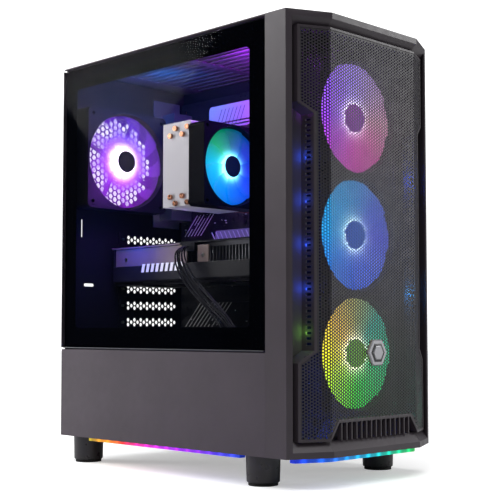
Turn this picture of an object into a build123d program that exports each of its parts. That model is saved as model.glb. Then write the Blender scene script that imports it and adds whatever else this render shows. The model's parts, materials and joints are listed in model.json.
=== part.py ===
"""A desktop computer tower, modelled piece by piece in millimetres.

The origin is on the surface that the tower stands on, under the middle of its
outline. +Z is up, the front panel faces -Y, and the glass side faces -X.
Fans, drives, boards and connectors have their standard industry sizes.
"""
from build123d import *
from math import atan2, pi, radians, sin, tan
import os

# ---- overall size -------------------------------------------------------
WIDTH = 225.0
HEIGHT = 460.0
FRONT = -194.0            # face of the middle front facet
BACK = 186.0              # outside of the rear panel
SCREW_BACK = 194.0        # ends of the rear thumbscrews
FOOT_HEIGHT = 30.0
HALF = WIDTH / 2
SHEET = 1.2               # steel sheet thickness
GLASS = 4.0
SEAM_Y = -145.5           # where the front panel meets the side panels

# ---- chassis levels -----------------------------------------------------
FLOOR = FOOT_HEIGHT
PLATE_TOP = FLOOR + SHEET
TOP_UNDER = HEIGHT - 1.4  # underside of the top panel's rim
ROOF = HEIGHT - 2.8       # underside of the sunk middle of the top panel
SHROUD_TOP = 130.0
GLASS_BOTTOM = 131.5
GLASS_TOP = 457.0
INNER_X = HALF - GLASS - 0.3
WALL_Y = SEAM_Y + 0.2     # front face of the steel front wall
REAR_IN = BACK - SHEET    # inside face of the rear panel
TRAY_X = 76.0             # face of the motherboard tray
BOARD_X = 68.0            # component face of the motherboard

# ---- front panel --------------------------------------------------------
SHOULDER_Y = -173.0       # where the slanted facets meet the sides
FACET_HALF = 68.3         # half width of the middle facet
SLANT = atan2(SHOULDER_Y - FRONT, HALF - FACET_HALF)
WALL = 2.5                # moulded wall thickness
RIM = 6.0                 # flat rim around the front recess
BEVEL_DEPTH = 8.0
INSERT_TOP = 446.5
INSERT_BOTTOM = 45.3
INSERT_WIDE = 99.1
INSERT_NARROW = 83.9
INSERT_FACE = 3.0         # how far the insert sits behind the rim
RECESS_DEPTH = 18.0
NOTCH_TOP = 62.4

# ---- fans ---------------------------------------------------------------
FAN = 120.0
FAN_DEPTH = 25.0
FAN_HOLES = 105.0         # screw spacing of a 120 mm fan
FRONT_FAN_Z = (369.5, 248.7, 127.9)
REAR_FAN = (-36.0, 356.0)
COOLER_FAN = 92.0
COOLER_AT = (-27.0, 332.5)
SHAFT_R = 1.5
BEARING_GAP = 0.05

# ---- expansion slots and graphics card ----------------------------------
SLOT_PITCH = 20.32
TOP_SLOT_Z = 263.0
SLOT_COUNT = 7
CARD_SLOTS = (1, 2)
BOARD_OVER_SLOT = 7.6     # a card's board sits this far above its slot's middle
CARD_Z = TOP_SLOT_Z - SLOT_PITCH + BOARD_OVER_SLOT
CARD_UNDER = 45.5         # from the card's board down to its fan face
CARD_FRONT = -66.0
CARD_BACK = 176.0
CARD_OUT = -45.0
CARD_FANS_Y = (-4.0, 114.0)

# ---- power supply -------------------------------------------------------
PSU_HALF = 75.0
PSU_FRONT = REAR_IN - 140.0
PSU_BOTTOM = 33.0
PSU_TOP = PSU_BOTTOM + 86.0
PSU_FAN_Y = (PSU_FRONT + REAR_IN) / 2

FEET_AT = [(x, y) for x in (-90.0, 90.0) for y in (-121.0, 162.0)]
BOARD_BOTTOM = 137.0      # a full-size board, 305 by 244
STANDOFF_Z = (432.0, 277.0, 147.0)
THUMB_Z = (435.0, 154.6)
VENT_COLUMN_X = -93.5     # a column of small vent holes beside the rear fan
PANEL_IO_Y = -128.0       # line of buttons and sockets on the top


# ---- helpers ------------------------------------------------------------
def block(x0, x1, y0, y1, z0, z1):
    """A box between two values on each axis."""
    middle = Pos((x0 + x1) / 2, (y0 + y1) / 2, (z0 + z1) / 2)
    return middle * Box(x1 - x0, y1 - y0, z1 - z0)


def rod_y(x, z, radius, y0, y1):
    """A cylinder along Y."""
    return Pos(x, (y0 + y1) / 2, z) * Rot(90, 0, 0) * Cylinder(radius, y1 - y0)


def rod_z(x, y, radius, z0, z1):
    """A cylinder along Z."""
    return Pos(x, y, (z0 + z1) / 2) * Cylinder(radius, z1 - z0)


def rod_x(y, z, radius, x0, x1):
    """A cylinder along X."""
    return Pos((x0 + x1) / 2, y, z) * Rot(0, 90, 0) * Cylinder(radius, x1 - x0)


def upright(face, y0, y1):
    """Push a face drawn in X and Z through from y0 to y1."""
    plane = Plane(origin=(0, y0, 0), x_dir=(1, 0, 0), z_dir=(0, -1, 0))
    return extrude(plane * face, amount=y1 - y0, dir=(0, 1, 0))


def sideways(face, x0, x1):
    """Push a face drawn in Y and Z through from x0 to x1."""
    plane = Plane(origin=(x0, 0, 0), x_dir=(0, 1, 0), z_dir=(1, 0, 0))
    return extrude(plane * face, amount=x1 - x0, dir=(1, 0, 0))


def facet_y(x, depth):
    """Y of the facetted front, moved inwards by depth, at x."""
    break_x = FACET_HALF - depth * tan(SLANT / 2)
    return FRONT + depth + max(0.0, abs(x) - break_x) * tan(SLANT)


def facet_plan(depth, half_width, back):
    """Plan view of the facetted front, moved inwards by depth."""
    break_x = FACET_HALF - depth * tan(SLANT / 2)
    side_y = facet_y(half_width, depth)
    right = [(break_x, FRONT + depth), (half_width, side_y), (half_width, back)]
    left = [(-x, y) for x, y in reversed(right)]
    return make_face(Polyline(*right, *left, close=True))


def facet_block(depth, half_width, back, z0, z1):
    """A solid bounded in front by the facets, moved inwards by depth."""
    return extrude(Pos(0, 0, z0) * facet_plan(depth, half_width, back), z1 - z0)


def facet_slab(depth, thickness, half_width, z0, z1):
    """A folded sheet that follows the facets."""
    outer = facet_block(depth, half_width, SEAM_Y, z0, z1)
    return outer - facet_block(depth + thickness, half_width + 1, SEAM_Y + 1, z0, z1)


def honeycomb(radius, pitch, keep):
    """Hexagons on a staggered grid, at the points that keep allows."""
    step = pitch * sin(pi / 3)
    count = int(80 / pitch)
    places = []
    for column in range(-count, count + 1):
        for row in range(-count, count + 1):
            place = (column * step, (row + 0.5 * (column % 2)) * pitch)
            if keep(*place):
                places.append(place)
    return [Pos(x, z) * RegularPolygon(radius, 6) for x, z in places]


def fan_frame(size, opening, depth, holes):
    """A fan's square frame, with its air at -Y and its motor arms at +Y."""
    arm = 4.0
    frame = Rot(90, 0, 0) * Box(size, size, depth)
    frame = fillet(frame.edges().filter_by(Axis.Y), size * 0.05)
    frame -= rod_y(0, 0, opening / 2, -depth, depth)
    hub = rod_y(0, 0, opening * 0.125, depth / 2 - arm, depth / 2)
    arms = Rot(0, 25, 0) * block(-opening / 2 - 1, opening / 2 + 1,
                                 depth / 2 - arm, depth / 2, -2.0, 2.0)
    frame += hub + arms + Rot(0, 90, 0) * arms
    frame -= rod_y(0, 0, SHAFT_R + BEARING_GAP, 0, depth)
    for x in (-holes / 2, holes / 2):
        for z in (-holes / 2, holes / 2):
            frame -= rod_y(x, z, 2.15, -depth, depth)
    return frame


def fan_rotor(radius, hub_radius, depth, blades):
    """A fan's rotor, spinning about Y, whose shaft runs in the frame's bearing."""
    front = -depth / 2 + 2.5
    rear = depth / 2 - 5.5
    wheel = rod_y(0, 0, hub_radius, front, rear)
    wheel = fillet(wheel.edges().sort_by(Axis.Y)[0], 1.5)
    wheel += rod_y(0, 0, SHAFT_R, rear, depth / 2 - 1.0)
    zone = rod_y(0, 0, radius, front + 1, rear) - rod_y(0, 0, hub_radius - 1, front, rear)
    chord = 2 * pi * radius / blades * 0.72
    for index in range(blades):
        blade = Box(radius, 1.4, chord)
        blade = Pos(radius / 2 + hub_radius / 2, (front + rear) / 2, 0) * Rot(38, 0, 0) * blade
        wheel += (Rot(0, 360 / blades * index, 0) * blade) & zone
    return wheel


def tube(points, radii, radius):
    """A round bundle along straight runs joined by arcs."""
    path = FilletPolyline(*points, radius=radii)
    start = Plane(origin=path @ 0, z_dir=path % 0)
    return sweep(start * Circle(radius), path=path)


def arc_radii(points):
    """The largest arc at each corner that its two runs leave room for."""
    radii = []
    for before, corner, after in zip(points, points[1:], points[2:]):
        run_in = Vector(corner) - Vector(before)
        run_out = Vector(after) - Vector(corner)
        half_turn = radians(run_in.get_angle(run_out)) / 2
        radii.append(0.45 * min(run_in.length, run_out.length) / tan(half_turn))
    return radii


def save(name, shape):
    """Write one piece to its own file."""
    export_step(shape, f"parts/{name}.step")


# ---- chassis ------------------------------------------------------------
def bottom_plate():
    plate = block(-HALF + SHEET, HALF - SHEET, WALL_Y, REAR_IN, FLOOR, PLATE_TOP)
    for row in range(-5, 6):
        y = PSU_FAN_Y + row * 11.0
        plate -= block(-55, 55, y - 3.5, y + 3.5, FLOOR - 1, PLATE_TOP + 1)
    for side in (-1, 1):
        rail = block(67, 70, 18, 180, FLOOR - 4.0, FLOOR)
        rail += block(64.5, 70, 18, 180, FLOOR - 5.0, FLOOR - 4.0)
        plate += rail if side > 0 else mirror(rail, Plane.YZ)
    return plate


def slot_z(index):
    """Height of an expansion slot, counted down from the top one."""
    return TOP_SLOT_Z - index * SLOT_PITCH


def rear_panel():
    panel = block(-INNER_X, HALF - SHEET - 0.2, REAR_IN, BACK, PLATE_TOP, TOP_UNDER)
    panel += block(-HALF + SHEET, -INNER_X, REAR_IN, BACK, PLATE_TOP, SHROUD_TOP - 1)
    fan_x, fan_z = REAR_FAN
    grille = honeycomb(3.5, 7.4, lambda x, z: 12 < (x * x + z * z) ** 0.5 < 53)
    panel -= upright(Pos(fan_x, fan_z) * Sketch(grille), REAR_IN - 1, BACK + 1)
    for x in (-FAN_HOLES / 2, FAN_HOLES / 2):
        for z in (-FAN_HOLES / 2, FAN_HOLES / 2):
            panel -= rod_y(fan_x + x, fan_z + z, 2.2, REAR_IN - 1, BACK + 1)
    panel -= block(25.0, 67.25, REAR_IN - 1, BACK + 1, 283.0, 441.75)
    for index in range(SLOT_COUNT):
        z = slot_z(index)
        panel -= block(-18, 66, REAR_IN - 1, BACK + 1, z - 6.2, z + 6.2)
        panel -= rod_y(-25, z, 1.75, REAR_IN - 1, BACK + 1)
    panel -= block(-PSU_HALF + 4, PSU_HALF - 4, REAR_IN - 1, BACK + 1,
                   PSU_BOTTOM + 4, PSU_TOP - 4)
    for side in (-1, 1):
        for z in THUMB_Z:
            panel -= rod_y(side * 101, z, 2.4, REAR_IN - 1, BACK + 1)
    for row in range(11):
        panel -= rod_y(VENT_COLUMN_X, 318.0 + row * 7.6, 2.1, REAR_IN - 1, BACK + 1)
    tie_slots = Pos(-74.5, 205.5) * SlotOverall(15.0, 3.6) + Pos(-85.5, 273.0) * Rectangle(2.0, 21.0)
    return panel - upright(tie_slots, REAR_IN - 1, BACK + 1)


def top_panel():
    panel = block(-HALF, HALF, SEAM_Y, BACK, TOP_UNDER, HEIGHT)
    panel -= block(-100, 100, -95, 175, TOP_UNDER - 1, HEIGHT + 1)
    panel += block(-101.4, 101.4, -96.4, 176.4, ROOF, TOP_UNDER)
    for row_y in (-18.0, 98.0):
        for column in range(-6, 7):
            x = column * 13.0
            panel -= block(x - 4.5, x + 4.5, row_y - 52, row_y + 52, ROOF - 1, TOP_UNDER + 1)
    panel -= rod_z(-60, PANEL_IO_Y, 7.4, TOP_UNDER - 1, HEIGHT + 1)
    panel -= rod_z(-40, PANEL_IO_Y, 4.3, TOP_UNDER - 1, HEIGHT + 1)
    for x in (-22, -8):
        panel -= rod_z(x, PANEL_IO_Y, 3.8, TOP_UNDER - 1, HEIGHT + 1)
    for x in (14, 38, 62):
        panel -= block(x - 7.0, x + 7.0, PANEL_IO_Y - 3.4, PANEL_IO_Y + 3.4, TOP_UNDER - 1, HEIGHT + 1)
    return panel


def front_wall():
    wall = block(-INNER_X, INNER_X, WALL_Y, WALL_Y + SHEET, PLATE_TOP, TOP_UNDER)
    wall += block(-INNER_X, -INNER_X + SHEET, WALL_Y + SHEET, WALL_Y + 20, GLASS_BOTTOM, ROOF)
    for z in FRONT_FAN_Z:
        wall -= rod_y(0, z, 57.0, WALL_Y - 1, WALL_Y + 2)
        for x in (-FAN_HOLES / 2, FAN_HOLES / 2):
            for dz in (-FAN_HOLES / 2, FAN_HOLES / 2):
                wall -= rod_y(x, z + dz, 2.2, WALL_Y - 1, WALL_Y + 2)
    for x in (-98, 98):
        for z in (60, 245, 430):
            wall -= rod_y(x, z, 4.0, WALL_Y - 1, WALL_Y + 2)
    return wall


def motherboard_tray():
    tray = block(TRAY_X, TRAY_X + SHEET, WALL_Y + SHEET, REAR_IN, SHROUD_TOP, ROOF)
    tray -= block(TRAY_X - 1, TRAY_X + 2, -20, 90, 285, 385)
    for z in (175.0, 265.0, 352.0):
        tray -= sideways(Pos(-96, z) * Rot(0, 0, 90) * SlotOverall(70, 26), TRAY_X - 1, TRAY_X + 2)
    tray -= block(TRAY_X - 1, TRAY_X + 2, 20, 80, SHROUD_TOP + 8, SHROUD_TOP + 34)
    return tray


def psu_shroud():
    low = SHROUD_TOP - SHEET
    shroud = block(-INNER_X, TRAY_X + SHEET, WALL_Y + SHEET, REAR_IN, low, SHROUD_TOP)
    shroud += block(-INNER_X, -INNER_X + SHEET, WALL_Y + SHEET, REAR_IN, low - 14, low)
    shroud -= block(-76, -44, -76, -42, low - 1, SHROUD_TOP + 1)
    for row in range(9):
        y = 70.0 + row * 12.0
        shroud -= block(-60, 40, y - 2.5, y + 2.5, low - 1, SHROUD_TOP + 1)
    return shroud


def lower_side_panel():
    panel = block(-HALF, -HALF + SHEET, SEAM_Y, BACK, FLOOR, SHROUD_TOP - 0.5)
    return panel + block(-HALF + SHEET, -INNER_X, WALL_Y, WALL_Y + SHEET, PLATE_TOP, SHROUD_TOP - 0.5)


def feet():
    shapes = []
    for x, y in FEET_AT:
        foot = Pos(x, y, 16.5) * Cone(16.4, 17.25, 27.0)
        foot = fillet(foot.edges().sort_by(Axis.Z)[0], 1.2)
        shapes.append(foot)
    return Compound(shapes)


def foot_pads():
    return Compound([rod_z(x, y, 14.8, 0, 3) for x, y in FEET_AT])


def led_strip_side():
    return fillet(block(-104, -96, -102, 143, FLOOR - 4.5, FLOOR).edges().filter_by(Axis.Y), 0.8)


# ---- front panel, which pulls off forwards ------------------------------
def insert_outline():
    """Front view of the raised mesh insert: wide ends, narrow waist, notched foot."""
    right = [
        (56.5, NOTCH_TOP), (68.5, INSERT_BOTTOM), (INSERT_WIDE, INSERT_BOTTOM),
        (INSERT_WIDE, 119.9), (INSERT_NARROW, 131.7), (INSERT_NARROW, 360.7),
        (INSERT_WIDE, 371.2), (INSERT_WIDE, INSERT_TOP),
    ]
    left = [(-x, z) for x, z in reversed(right)]
    return make_face(Polyline(*right, *left, close=True))


def front_bezel():
    shell = facet_block(0, HALF, SEAM_Y, FLOOR, HEIGHT)
    shell -= facet_block(WALL, HALF - WALL, SEAM_Y + 1, FLOOR + WALL, HEIGHT - WALL)
    shell -= block(-HALF + RIM, HALF - RIM, FRONT - 1, SEAM_Y + 1, FLOOR + RIM, HEIGHT - RIM)
    inner = HALF - WALL
    for edge, level in ((HEIGHT - RIM, INSERT_TOP), (FLOOR + RIM, INSERT_BOTTOM)):
        outer_face = Pos(0, 0, edge) * facet_plan(0, inner, SEAM_Y)
        inner_face = Pos(0, 0, level) * facet_plan(BEVEL_DEPTH, inner, SEAM_Y)
        sloped = loft([outer_face, inner_face])
        core = facet_block(BEVEL_DEPTH + 2, inner + 1, SEAM_Y + 1, FLOOR, HEIGHT)
        shell += sloped - core
    floor = facet_slab(RECESS_DEPTH, WALL, inner, FLOOR + WALL, HEIGHT - WALL)
    window = offset(insert_outline(), amount=-WALL, kind=Kind.INTERSECTION)
    shell += floor - upright(window, FRONT, SEAM_Y)
    for x in (-98, 98):
        for z in (60, 245, 430):
            start = facet_y(x, RECESS_DEPTH + WALL) - 1.5
            shell += rod_y(x, z, 3.0, start, WALL_Y + 5)
    return shell


def front_insert():
    outline = insert_outline()
    ring = outline - offset(outline, amount=-WALL, kind=Kind.INTERSECTION)
    slab = facet_slab(INSERT_FACE, RECESS_DEPTH - INSERT_FACE, INSERT_WIDE + 2, 40, 450)
    frame = slab & upright(ring, FRONT, SEAM_Y)
    for bar in range(-7, 8):
        x = bar * 7.6
        if abs(x) < 56:
            frame += block(x - 0.8, x + 0.8, FRONT + INSERT_FACE, FRONT + 8, INSERT_BOTTOM, NOTCH_TOP + 1)
    for row in range(42):
        z = 138.0 + row * 5.3
        for side in (-1, 1):
            x = side * (INSERT_NARROW - WALL / 2)
            frame -= block(x - 3, x + 3, -179, -172, z - 1.3, z + 1.3)
    return frame


def front_mesh():
    window = offset(insert_outline(), amount=-WALL, kind=Kind.INTERSECTION)
    slab = facet_slab(INSERT_FACE + 0.6, 0.8, INSERT_WIDE + 2, 40, 450)
    return slab & upright(window, FRONT, SEAM_Y)


def badge():
    face = FRONT + INSERT_FACE + 0.6
    plate = upright(Pos(0, 129) * RegularPolygon(15, 6), face - 3.2, face)
    return chamfer(plate.faces().sort_by(Axis.Y)[0].edges(), 1.0)


def led_strip_front():
    """A light tube under the front panel, bent to the facets and short on one side."""
    tube_half = 99.0
    strip = facet_slab(7.0, 6.0, tube_half, FLOOR - 4.6, FLOOR)
    return strip - block(72.0, tube_half + 2, FRONT, SEAM_Y, FLOOR - 6, FLOOR + 1)


# ---- removable panels, filters and screws -------------------------------
def glass_panel():
    pane = block(-HALF, -HALF + GLASS, SEAM_Y, BACK, GLASS_BOTTOM, GLASS_TOP)
    return fillet(pane.edges().filter_by(Axis.X), 3.0)


def rear_flange(side, z0, z1):
    """The folded strip behind the rear panel that a side panel is screwed on by."""
    flange = block(94, HALF, BACK, BACK + SHEET, z0, z1)
    for z in THUMB_Z:
        flange -= rod_y(101, z, 2.2, BACK - 1, BACK + 2)
    return flange if side > 0 else mirror(flange, Plane.YZ)


def thumbscrews(side):
    shapes = []
    head_start = BACK + SHEET
    for z in THUMB_Z:
        head = rod_y(side * 101, z, 6.0, head_start, SCREW_BACK)
        head = chamfer(head.edges().sort_by(Axis.Y)[-1], 0.8)
        shapes.append(head + rod_y(side * 101, z, 1.9, 176, head_start))
    return Compound(shapes)


def right_side_panel():
    panel = block(HALF - SHEET, HALF, SEAM_Y, BACK, FLOOR + 0.2, GLASS_TOP)
    return panel + rear_flange(1, FLOOR + 0.2, GLASS_TOP)


def top_filter():
    low = HEIGHT - 1.4
    frame = block(-99.6, 99.6, -94.6, 174.6, low, HEIGHT)
    return frame - block(-94, 94, -89, 169, low + 0.6, HEIGHT + 1)


def psu_filter():
    frame = block(-66.6, 66.6, 22, 176, FLOOR - 3.8, FLOOR - 0.4)
    frame -= block(-61, 61, 28, 170, FLOOR - 3.0, FLOOR)
    return frame + block(-20, 20, 176, 186, FLOOR - 5.5, FLOOR - 0.4)


def power_button():
    return chamfer(rod_z(-60, PANEL_IO_Y, 7.0, 450.5, HEIGHT).edges().sort_by(Axis.Z)[-1], 0.5)


def reset_button():
    return chamfer(rod_z(-40, PANEL_IO_Y, 3.9, 450.5, HEIGHT).edges().sort_by(Axis.Z)[-1], 0.4)


def front_io_board():
    board = block(-72, 74, -142, -114, 444.0, 445.6)
    for x, radius in ((-60, 4.5), (-40, 3.0)):
        board += rod_z(x, PANEL_IO_Y, radius, 445.6, 448.6)
    for x in (-22, -8):
        jack = rod_z(x, PANEL_IO_Y, 3.5, 445.6, HEIGHT - 0.2) - rod_z(x, PANEL_IO_Y, 1.8, 447, HEIGHT)
        board += jack
    for x in (14, 38, 62):
        shell = block(x - 6.6, x + 6.6, PANEL_IO_Y - 3.0, PANEL_IO_Y + 3.0, 445.6, HEIGHT - 0.2)
        shell -= block(x - 6.1, x + 6.1, PANEL_IO_Y - 2.5, PANEL_IO_Y + 2.5, 447.6, HEIGHT)
        board += shell + block(x - 5.2, x + 5.2, PANEL_IO_Y - 0.2, PANEL_IO_Y + 1.8, 447, 458)
    return board


# ---- board and its parts ------------------------------------------------
def motherboard():
    board = block(BOARD_X, BOARD_X + 1.6, -64, 180, BOARD_BOTTOM, BOARD_BOTTOM + 305)
    for y in (172, 48, -57):
        for z in STANDOFF_Z:
            board -= rod_x(y, z, 1.6, BOARD_X - 1, BOARD_X + 3)
    return board


def standoffs():
    shapes = []
    for y in (172, 48, -57):
        for z in STANDOFF_Z:
            nut = rod_x(y, z, 3.0, BOARD_X + 1.6, TRAY_X)
            shapes.append(nut - rod_x(y, z, 1.5, BOARD_X, TRAY_X - 1))
    return Compound(shapes)


def rear_io_block():
    stacks = [(297, 33, 14), (322, 30, 17), (345, 30, 15), (368, 20, 22), (394, 16, 15), (418, 30, 15)]
    plate = block(24.3, 67.9, REAR_IN - SHEET, REAR_IN, 281.5, 443.2)
    for z, tall, wide in stacks:
        plate += block(BOARD_X - tall, BOARD_X, 160, REAR_IN - SHEET, z - wide / 2, z + wide / 2)
    for level in range(3):
        plate -= rod_y(BOARD_X - 6.5 - level * 10, 297, 3.0, 168, REAR_IN + 1)
    plate -= block(41, 53, 168, REAR_IN + 1, 315.5, 328.5)
    plate -= block(57, 63, 168, REAR_IN + 1, 315.5, 328.5)
    for z in (345, 418):
        for level in range(2):
            x = BOARD_X - 8 - level * 13
            plate -= block(x - 2.6, x + 2.6, 168, REAR_IN + 1, z - 6.2, z + 6.2)
    plate -= block(BOARD_X - 14, BOARD_X - 8, 168, REAR_IN + 1, 360, 376)
    plate -= block(BOARD_X - 11, BOARD_X - 6, 168, REAR_IN + 1, 388, 400)
    return plate


def board_heatsinks():
    """Coolers with cut ribs for the power stages, and a flat one over the drive stick."""
    upper = fillet(block(35, BOARD_X, 20, 92, 393, 422).edges().filter_by(Axis.X), 5.0)
    for z in (396.5, 400.5):
        upper -= block(34, 60, 18, 94, z - 0.8, z + 0.8)
    side = fillet(block(42, BOARD_X, 118, 146, 300, 388).edges().filter_by(Axis.X), 4.0)
    for rib in range(9):
        z = 310.0 + rib * 8.5
        side -= block(41, 48, 115, 150, z - 1.2, z + 1.2)
    stick = fillet(block(60, BOARD_X, 20, 107, 256, 274).edges().filter_by(Axis.X), 2.0)
    return Compound([upper, side, stick])


def board_sockets():
    shapes = [block(59, BOARD_X, y - 3.2, y + 3.2, 298, 438) for y in (-27, -36, -45, -54)]
    for z in (CARD_Z, slot_z(4) + BOARD_OVER_SLOT, slot_z(6) + BOARD_OVER_SLOT):
        shapes.append(block(57, BOARD_X, 32, 122, z - 3.6, z + 3.6))
    shapes[4] -= block(56, 66, 34, 120, CARD_Z - 0.9, CARD_Z + 0.9)
    shapes.append(block(61, BOARD_X, 8, 58, 307, 357))
    shapes.append(block(54, BOARD_X, -63.5, -58.5, 322, 374))
    shapes[0] -= block(58, 65, -27.8, -26.2, 300, 436)
    shapes[2] -= block(58, 65, -45.8, -44.2, 300, 436)
    return Compound(shapes)


def ram_modules():
    sticks = []
    for y in (-27, -45):
        stick = block(34, 65, y - 0.6, y + 0.6, 301.4, 434.6)
        spreader = block(32, 58.5, y - 3.4, y + 3.4, 301.0, 435.0)
        sticks.append(stick + spreader)
    return Compound(sticks)


# ---- processor cooler ---------------------------------------------------
PIPE_Y = (13.0, 21.5, 33.0, 41.5)
PIPE_TOP = (375.0, 367.5, 375.0, 367.5)
PIPE_LOW = (291.5, 299.0, 291.5, 299.0)
PIPE_R = 3.0


def cooler_base():
    base = block(50, 61, 8, 58, 312, 352)
    for y in PIPE_Y:
        base -= rod_z(0, 0, PIPE_R + 0.05, -25, 25).moved(Location((53.5, y, 332)))
    return base


def heat_pipes():
    shapes = []
    for y, top, low in zip(PIPE_Y, PIPE_TOP, PIPE_LOW):
        points = [(-73, y, top), (53.5, y, top), (53.5, y, low), (-73, y, low)]
        shapes.append(tube(points, [14.0, 14.0], PIPE_R))
    return Compound(shapes)


def cooler_fins():
    """Thin plates across X, each pierced by both legs of every pipe."""
    outline = Pos(32, 335) * Rectangle(46.0, 94.0)
    outline -= [Pos(y, z) * Circle(PIPE_R + 0.05) for y, z in zip(PIPE_Y, PIPE_TOP)]
    outline -= [Pos(y, z) * Circle(PIPE_R + 0.05) for y, z in zip(PIPE_Y, PIPE_LOW)]
    plate = sideways(outline, 0, 0.5)
    return Compound([Pos(-70 + index * 2.4, 0, 0) * plate for index in range(36)])


# ---- graphics card ------------------------------------------------------
def gpu_board():
    board = block(CARD_OUT, 57, CARD_FRONT, CARD_BACK + 4, CARD_Z - 0.8, CARD_Z + 0.8)
    board += block(57, 64, 36, 118, CARD_Z - 0.8, CARD_Z + 0.8)
    board += block(CARD_OUT, CARD_OUT + 12, 30, 52, CARD_Z - 10, CARD_Z - 0.8)
    for index in range(6):
        y = -40.0 + index * 38.0
        board += block(24, 40, y, y + 16, CARD_Z + 0.8, CARD_Z + 2.2)
    return board


def gpu_heatsink():
    top = CARD_Z - 0.8
    sink = block(-30, 50, CARD_FRONT + 6, CARD_BACK - 8, top - 4, top)
    for fin in range(44):
        y = CARD_FRONT + 9 + fin * 5.1
        sink += block(-30, 50, y, y + 1.2, top - 22, top - 3.5)
    return sink


def gpu_shroud():
    low = CARD_Z - CARD_UNDER
    high = CARD_Z - 23.0
    shroud = block(CARD_OUT, 54, CARD_FRONT, CARD_BACK, low, high)
    shroud = chamfer(shroud.edges().filter_by(Axis.Y).group_by(Axis.Z)[0], 5.0)
    shroud -= block(CARD_OUT + 2, 52, CARD_FRONT + 2, CARD_BACK - 2, low + 2, high + 1)
    for y in CARD_FANS_Y:
        shroud -= rod_z(4.5, y, 44.0, low - 1, low + 3)
        arms = block(-44, 53, y - 2, y + 2, low + 17, low + 20)
        arms += block(4.5 - 2, 4.5 + 2, y - 45, y + 45, low + 17, low + 20)
        arms += rod_z(4.5, y, 12, low + 16, low + 20)
        shroud += arms - rod_z(4.5, y, SHAFT_R + BEARING_GAP, low, low + 30)
    for y in (CARD_FRONT + 1.0, CARD_BACK - 3.0):
        shroud += block(CARD_OUT, 54, y, y + 2, high - 1, CARD_Z - 0.8)
    return shroud


def gpu_rotor(y):
    wheel = Rot(90, 0, 0) * fan_rotor(42.0, 15.0, 22.0, 9)
    return Pos(4.5, y, CARD_Z - CARD_UNDER + 9.2) * wheel


def gpu_bracket():
    low = slot_z(CARD_SLOTS[1]) - 9.2
    high = slot_z(CARD_SLOTS[0]) + 9.2
    plate = block(-30, 70, REAR_IN - SHEET, REAR_IN, low, high)
    for index in CARD_SLOTS:
        plate -= rod_y(-25, slot_z(index), 1.75, REAR_IN - 3, REAR_IN + 1)
    for x in (-8, 14, 36):
        plate -= block(x, x + 17, REAR_IN - 3, REAR_IN + 1, slot_z(1) - 3, slot_z(1) + 3)
    grid = honeycomb(2.3, 5.4, lambda x, z: -36 < x < 36 and -5 < z < 5)
    return plate - upright(Pos(24, slot_z(2)) * Sketch(grid), REAR_IN - 3, REAR_IN + 1)


def slot_covers():
    outline = Pos(20, 0) * Rectangle(100, 18.6)
    outline -= honeycomb(2.5, 5.8, lambda x, z: -16 < x < 64 and -4.5 < z < 4.5)
    outline -= Pos(-25, 0) * Circle(1.75)
    cover = upright(outline, REAR_IN - SHEET, REAR_IN)
    free = [index for index in range(SLOT_COUNT) if index not in CARD_SLOTS]
    return Compound([Pos(0, 0, slot_z(index)) * cover for index in free])


def case_screws():
    """Slot screws and fan screws, all put in from outside or behind the front wall."""
    shapes = []
    for index in range(SLOT_COUNT):
        z = slot_z(index)
        screw = rod_y(-25, z, 3.4, BACK, BACK + 2.2) + rod_y(-25, z, 1.6, 181, BACK)
        shapes.append(screw)
    fan_x, fan_z = REAR_FAN
    for x in (-FAN_HOLES / 2, FAN_HOLES / 2):
        for dz in (-FAN_HOLES / 2, FAN_HOLES / 2):
            rear = rod_y(fan_x + x, fan_z + dz, 3.6, BACK, BACK + 2.2)
            shapes.append(rear + rod_y(fan_x + x, fan_z + dz, 1.9, 174, BACK))
            for z in FRONT_FAN_Z:
                inside = WALL_Y + SHEET
                front = rod_y(x, z + dz, 3.6, inside, inside + 2.2)
                shapes.append(front + rod_y(x, z + dz, 1.9, inside - 12, inside))
    return Compound(shapes)


# ---- power supply -------------------------------------------------------
ROCKER_X = 52.0
ROCKER_Y = REAR_IN - 3.5
ROCKER_Z = 92.0
ROCKER_TILT = 8.0
ROCKER_PIN_R = 1.0


def psu_case():
    case = block(-PSU_HALF, PSU_HALF, PSU_FRONT, REAR_IN, PSU_BOTTOM, PSU_TOP)
    case -= block(-PSU_HALF + 1, PSU_HALF - 1, PSU_FRONT + 1, REAR_IN - 1, PSU_BOTTOM + 1, PSU_TOP - 1)
    grid = honeycomb(3.0, 6.6, lambda x, z: -62 < x < 24 and -32 < z < 32)
    case -= upright(Pos(0, 76) * Sketch(grid), REAR_IN - 3, REAR_IN + 1)
    case -= block(38.0, 66.0, REAR_IN - 3, REAR_IN + 1, 46, 68)
    case -= block(44.2, 59.8, REAR_IN - 3, REAR_IN + 1, 79.2, 104.8)
    case -= block(-52, -26, PSU_FRONT - 1, PSU_FRONT + 3, 74, 96)
    case -= rod_z(0, PSU_FAN_Y, 58.0, PSU_BOTTOM - 1, PSU_BOTTOM + 2)
    bars = block(-60, 60, PSU_FAN_Y - 2, PSU_FAN_Y + 2, PSU_BOTTOM + 20, PSU_BOTTOM + 23)
    bars += block(-2, 2, PSU_FAN_Y - 60, PSU_FAN_Y + 60, PSU_BOTTOM + 20, PSU_BOTTOM + 23)
    bars += rod_z(0, PSU_FAN_Y, 14, PSU_BOTTOM + 19, PSU_BOTTOM + 23)
    for x, y in ((-60, 0), (60, 0), (0, -60), (0, 60)):
        bars += rod_z(x, PSU_FAN_Y + y, 3, PSU_BOTTOM + 0.5, PSU_BOTTOM + 23)
    return case + (bars - rod_z(0, PSU_FAN_Y, SHAFT_R + BEARING_GAP, PSU_BOTTOM, PSU_BOTTOM + 30))


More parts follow.
